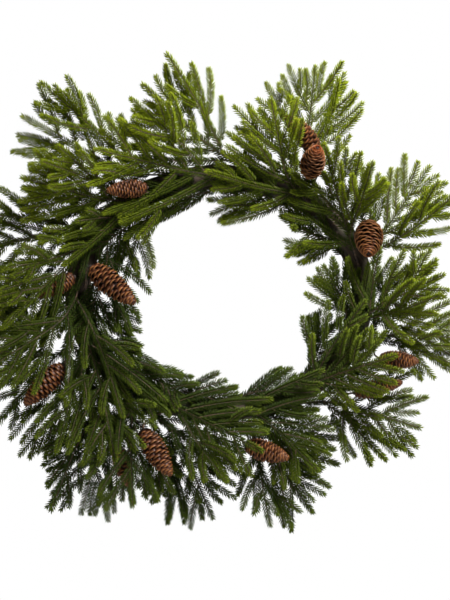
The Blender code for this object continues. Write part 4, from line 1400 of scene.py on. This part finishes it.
# %% Grow all sprays
def grow_sprays():
    total = 0
    for owner, node in enumerate(spray_names):
        rng = np.random.default_rng(SEED * 100 + owner)
        shoots = spray_shoots(owner, rng)
        # the painted light of the spray, which makes its needles lighter or darker
        painted_light = min(1.0, max(0.0, spray_painted_light(node, owner) + rng.uniform(-0.1, 0.1)))
        parts = [(needles_mesh(shoots, painted_light, rng), NEEDLES), (stems_mesh(shoots), TWIG_BARK)]
        row, number = node.split("_")[1:]
        piece = make_piece(f"{row}_sprig_{number}", parts, node)
        total += triangles(piece)
    print("sprays", total, "triangles")


grow_sprays()

# %% [markdown]
# ## One cone scale
#
# A spruce cone is a stack of thin rounded scales. One scale is a small grid, bent
# into a shell with a rounded lip and given a thickness. Copies of it go round the
# cone in a spiral, as they grow, each leaning out from the cone's heart.

# %% Scale shape
def scale_shape():
    """A scale one unit long and about one wide, foot at the origin, lip at Y = 1."""
    bm = bmesh.new()
    bmesh.ops.create_grid(bm, x_segments=4, y_segments=3, size=1.0)
    for vertex in bm.verts:
        u, v = vertex.co.x, 0.5 * (vertex.co.y + 1.0)
        width = 0.18 + 0.34 * math.sin(0.5 * math.pi * min(1.0, 1.35 * v))
        lip = 1.0 - 0.20 * abs(u) ** 3
        vertex.co = (u * width * (1.0 - 0.10 * v ** 4), v * (lip if v > 0.5 else 1.0),
                     0.20 * u * u * v - 0.08 * math.sin(math.pi * v) + 0.05 * v * v)
    bmesh.ops.solidify(bm, geom=bm.faces, thickness=0.085)
    bmesh.ops.recalc_face_normals(bm, faces=bm.faces)
    return read_shape(bm)


SCALE_CORNERS, SCALE_FACES = scale_shape()
print("a scale has", len(SCALE_FACES), "faces")


# %% Scales round a cone
SCALES = 104
GOLDEN_TURN = math.pi * (3.0 - math.sqrt(5.0))


def cone_outline(share):
    """A cone's outline, 0 at the base to 1 at the tip, as a share of its half width."""
    share = np.clip(share, 0.0, 1.0)
    return np.sin(math.pi * share ** 0.80) ** 0.62


def scales_mesh(cone, painted_light, rng):
    base, tip = cone_axis(cone)
    length, width = cone[5], cone[6]
    axis = unit(tip - base)
    side, up = (row[0] for row in square_frames(axis[None]))
    order = np.arange(SCALES)
    share = 0.06 + 0.92 * ((order + 0.5) / SCALES) ** 0.94
    turn = order * GOLDEN_TURN + rng.normal(0, 0.10, SCALES)
    radial = np.cos(turn)[:, None] * side + np.sin(turn)[:, None] * up
    least = np.interp(share, (0.0, 0.90, 0.98), (0.16, 0.16, 0.03))
    reach = 0.5 * width * np.maximum(least, cone_outline(share))
    open_angle = np.radians(np.interp(share, (0, 0.15, 0.7, 1.0), (84, 66, 56, 20)))
    open_angle = open_angle + np.radians(rng.normal(0, 7, SCALES))
    along = np.cos(open_angle)[:, None] * axis + np.sin(open_angle)[:, None] * radial
    outside = np.cos(open_angle)[:, None] * radial - np.sin(open_angle)[:, None] * axis
    across = np.cross(along, outside)
    size = np.minimum(0.34 * width, 0.95 * reach / np.maximum(0.2, np.sin(open_angle)))
    size = np.maximum(size, 0.17 * width) * rng.uniform(0.90, 1.10, SCALES)
    lips = base + axis * (share * length)[:, None] + radial * reach[:, None]
    feet = lips - along * size[:, None]
    wide = size * np.interp(share, (0, 0.5, 1.0), (1.05, 1.05, 0.9))
    corners = SCALE_CORNERS
    placed = feet[:, None] + along[:, None] * (corners[:, 1] * size[:, None])[..., None]
    placed = placed + across[:, None] * (corners[:, 0] * wide[:, None])[..., None]
    placed = placed - outside[:, None] * (corners[:, 2] * size[:, None])[..., None]
    mesh = copies_mesh("scales", placed, SCALE_FACES)
    many = len(corners)
    set_values(mesh, "along", np.tile(corners[:, 1], SCALES))
    set_values(mesh, "draw", np.repeat(rng.uniform(0, 1, SCALES), many))
    # painted highlight, strongest on the scales at the cone's tip
    set_values(mesh, "painted_light", np.repeat(painted_light * np.exp(-((1 - share) / 0.18) ** 2), many))
    shifts = np.repeat(rng.uniform(0, 1, (SCALES, 3)), many, axis=0)
    set_vectors(mesh, "grain", 0.02 * np.tile(corners, (SCALES, 1)) + shifts)
    return mesh


# %% Hearts and stalks
def heart_mesh(cone):
    """The heart that shows between the scales, coloured near-black as painted shade."""
    base, tip = (Vector(end) for end in cone_axis(cone))
    length, width = cone[5], cone[6]
    frame_of = (tip - base).to_track_quat("Z", "Y").to_matrix().to_4x4()
    bm = bmesh.new()
    bmesh.ops.create_uvsphere(bm, u_segments=12, v_segments=12, radius=1.0)
    for vertex in bm.verts:
        share = 0.5 * (vertex.co.z + 1.0)
        flat = math.hypot(vertex.co.x, vertex.co.y)
        reach = 0.5 * width * 0.55 * float(cone_outline(share))
        turn = math.atan2(vertex.co.y, vertex.co.x)
        if flat < 1e-6:
            reach = 0.0
        vertex.co = (reach * math.cos(turn), reach * math.sin(turn), 0.96 * share * length)
    bmesh.ops.transform(bm, matrix=Matrix.Translation(base) @ frame_of, verts=bm.verts)
    bmesh.ops.recalc_face_normals(bm, faces=bm.faces)
    mesh = bpy.data.meshes.new("heart")
    bm.to_mesh(mesh)
    bm.free()
    return mesh


def stalk_mesh(cone):
    line = stalk_points(cone, VINE_RADIUS + STALK_RADIUS)
    shares = np.linspace(0, 1, 16)
    points, _ = along_line(line, shares)
    radii = STALK_RADIUS * (1.0 - 0.35 * np.sin(math.pi * shares))
    mesh = tube_mesh("stalk", [(points, radii)], 8)
    set_values(mesh, "young", np.zeros(len(mesh.vertices)))
    return mesh


# %% Build the cones
# how strong the red painted highlight on the scales at each cone's tip is
CONE_PAINTED_HIGHLIGHT = (0.0, 0.55, 0.12, 0.05, 0.05, 0.0, 0.0, 0.0, 0.05, 0.0, 0.0, 0.1)


def build_cones():
    total = 0
    for number, cone in enumerate(CONES):
        rng = np.random.default_rng(SEED * 7 + number)
        parts = [(scales_mesh(cone, CONE_PAINTED_HIGHLIGHT[number], rng), CONE_SCALES),
                 (heart_mesh(cone), CONE_HEART_PAINTED_SHADE), (stalk_mesh(cone), TWIG_BARK)]
        node = f"cone_{number + 1:02d}"
        piece = make_piece(f"scaled_{node}", parts, node)
        total += triangles(piece)
    print("cones", total, "triangles")


build_cones()

# %% [markdown]
# ## The studio
#
# The wreath hangs in a white room. The camera looks straight at it from far off
# with a long lens, so that the front sprays aren't drawn larger than the rest. A
# large soft light stands above on the right and a weak one on the left. The world
# looks white, but lights the wreath only a little, so that the inside of the foliage
# stays dark. A pale floor lies well below.

# %% Floor and world
FLOOR_HEIGHT = -1.25
WORLD_LIGHT = 0.06
WORLD_LOOK = 1.0


def build_floor():
    bm = bmesh.new()
    bmesh.ops.create_grid(bm, x_segments=2, y_segments=2, size=5.0)
    bmesh.ops.translate(bm, vec=(0.0, 0.0, FLOOR_HEIGHT), verts=bm.verts)
    mesh = bpy.data.meshes.new("floor")
    bm.to_mesh(mesh)
    bm.free()
    floor = bpy.data.objects.new("floor", mesh)
    bpy.context.scene.collection.objects.link(floor)
    paint, _, shader = new_material("floor_paint", 0.9)
    shader.inputs["Base Color"].default_value = (0.85, 0.85, 0.84, 1.0)
    mesh.materials.append(paint)


def build_world(light, seen):
    """A white world: light is how much it lights, seen how bright it looks."""
    world = bpy.data.worlds.new("white_room")
    world.use_nodes = True
    tree = world.node_tree
    back = tree.nodes["Background"]
    back.inputs["Color"].default_value = (1.0, 1.0, 1.0, 1.0)
    path = add_node(tree, "ShaderNodeLightPath")
    level = add_node(tree, "ShaderNodeMapRange")
    level.inputs["To Min"].default_value = light
    level.inputs["To Max"].default_value = seen
    tree.links.new(path.outputs["Is Camera Ray"], level.inputs["Value"])
    tree.links.new(level.outputs["Result"], back.inputs["Strength"])
    bpy.context.scene.world = world


build_floor()
build_world(WORLD_LIGHT, WORLD_LOOK)
bpy.context.scene.view_settings.view_transform = "Standard"


# %% Lights
def soft_light(name, place, aim, size, power):
    """A round soft light, size metres across and power watts strong."""
    lamp = bpy.data.lights.new(name, "AREA")
    lamp.shape = "DISK"
    lamp.size = size
    lamp.energy = power
    thing = bpy.data.objects.new(name, lamp)
    thing.location = place
    thing.rotation_euler = (Vector(aim) - Vector(place)).to_track_quat("-Z", "Y").to_euler()
    bpy.context.scene.collection.objects.link(thing)


MIDDLE = (0.0, 0.0, RING_CENTRE_Z)
soft_light("key", (1.5, -1.9, 2.3), MIDDLE, 1.1, 350.0)
soft_light("fill", (-2.2, -2.6, 0.3), MIDDLE, 2.0, 24.0)


# %% Camera
def build_camera(aim, height, distance):
    """A camera straight in front whose picture is height metres tall at the wreath."""
    lens = bpy.data.cameras.new("camera")
    lens.sensor_fit = "VERTICAL"
    lens.sensor_height = 24.0
    lens.lens = 24.0 * distance / height
    lens.clip_end = 50.0
    thing = bpy.data.objects.new("camera", lens)
    thing.location = (aim[0], aim[1] - distance, aim[2])
    thing.rotation_euler = (math.radians(90), 0.0, 0.0)
    bpy.context.scene.collection.objects.link(thing)
    bpy.context.scene.camera = thing


VIEW_HEIGHT = 0.99
VIEW_DISTANCE = 6.0
build_camera((0.008, -0.03, -0.182), VIEW_HEIGHT, VIEW_DISTANCE)
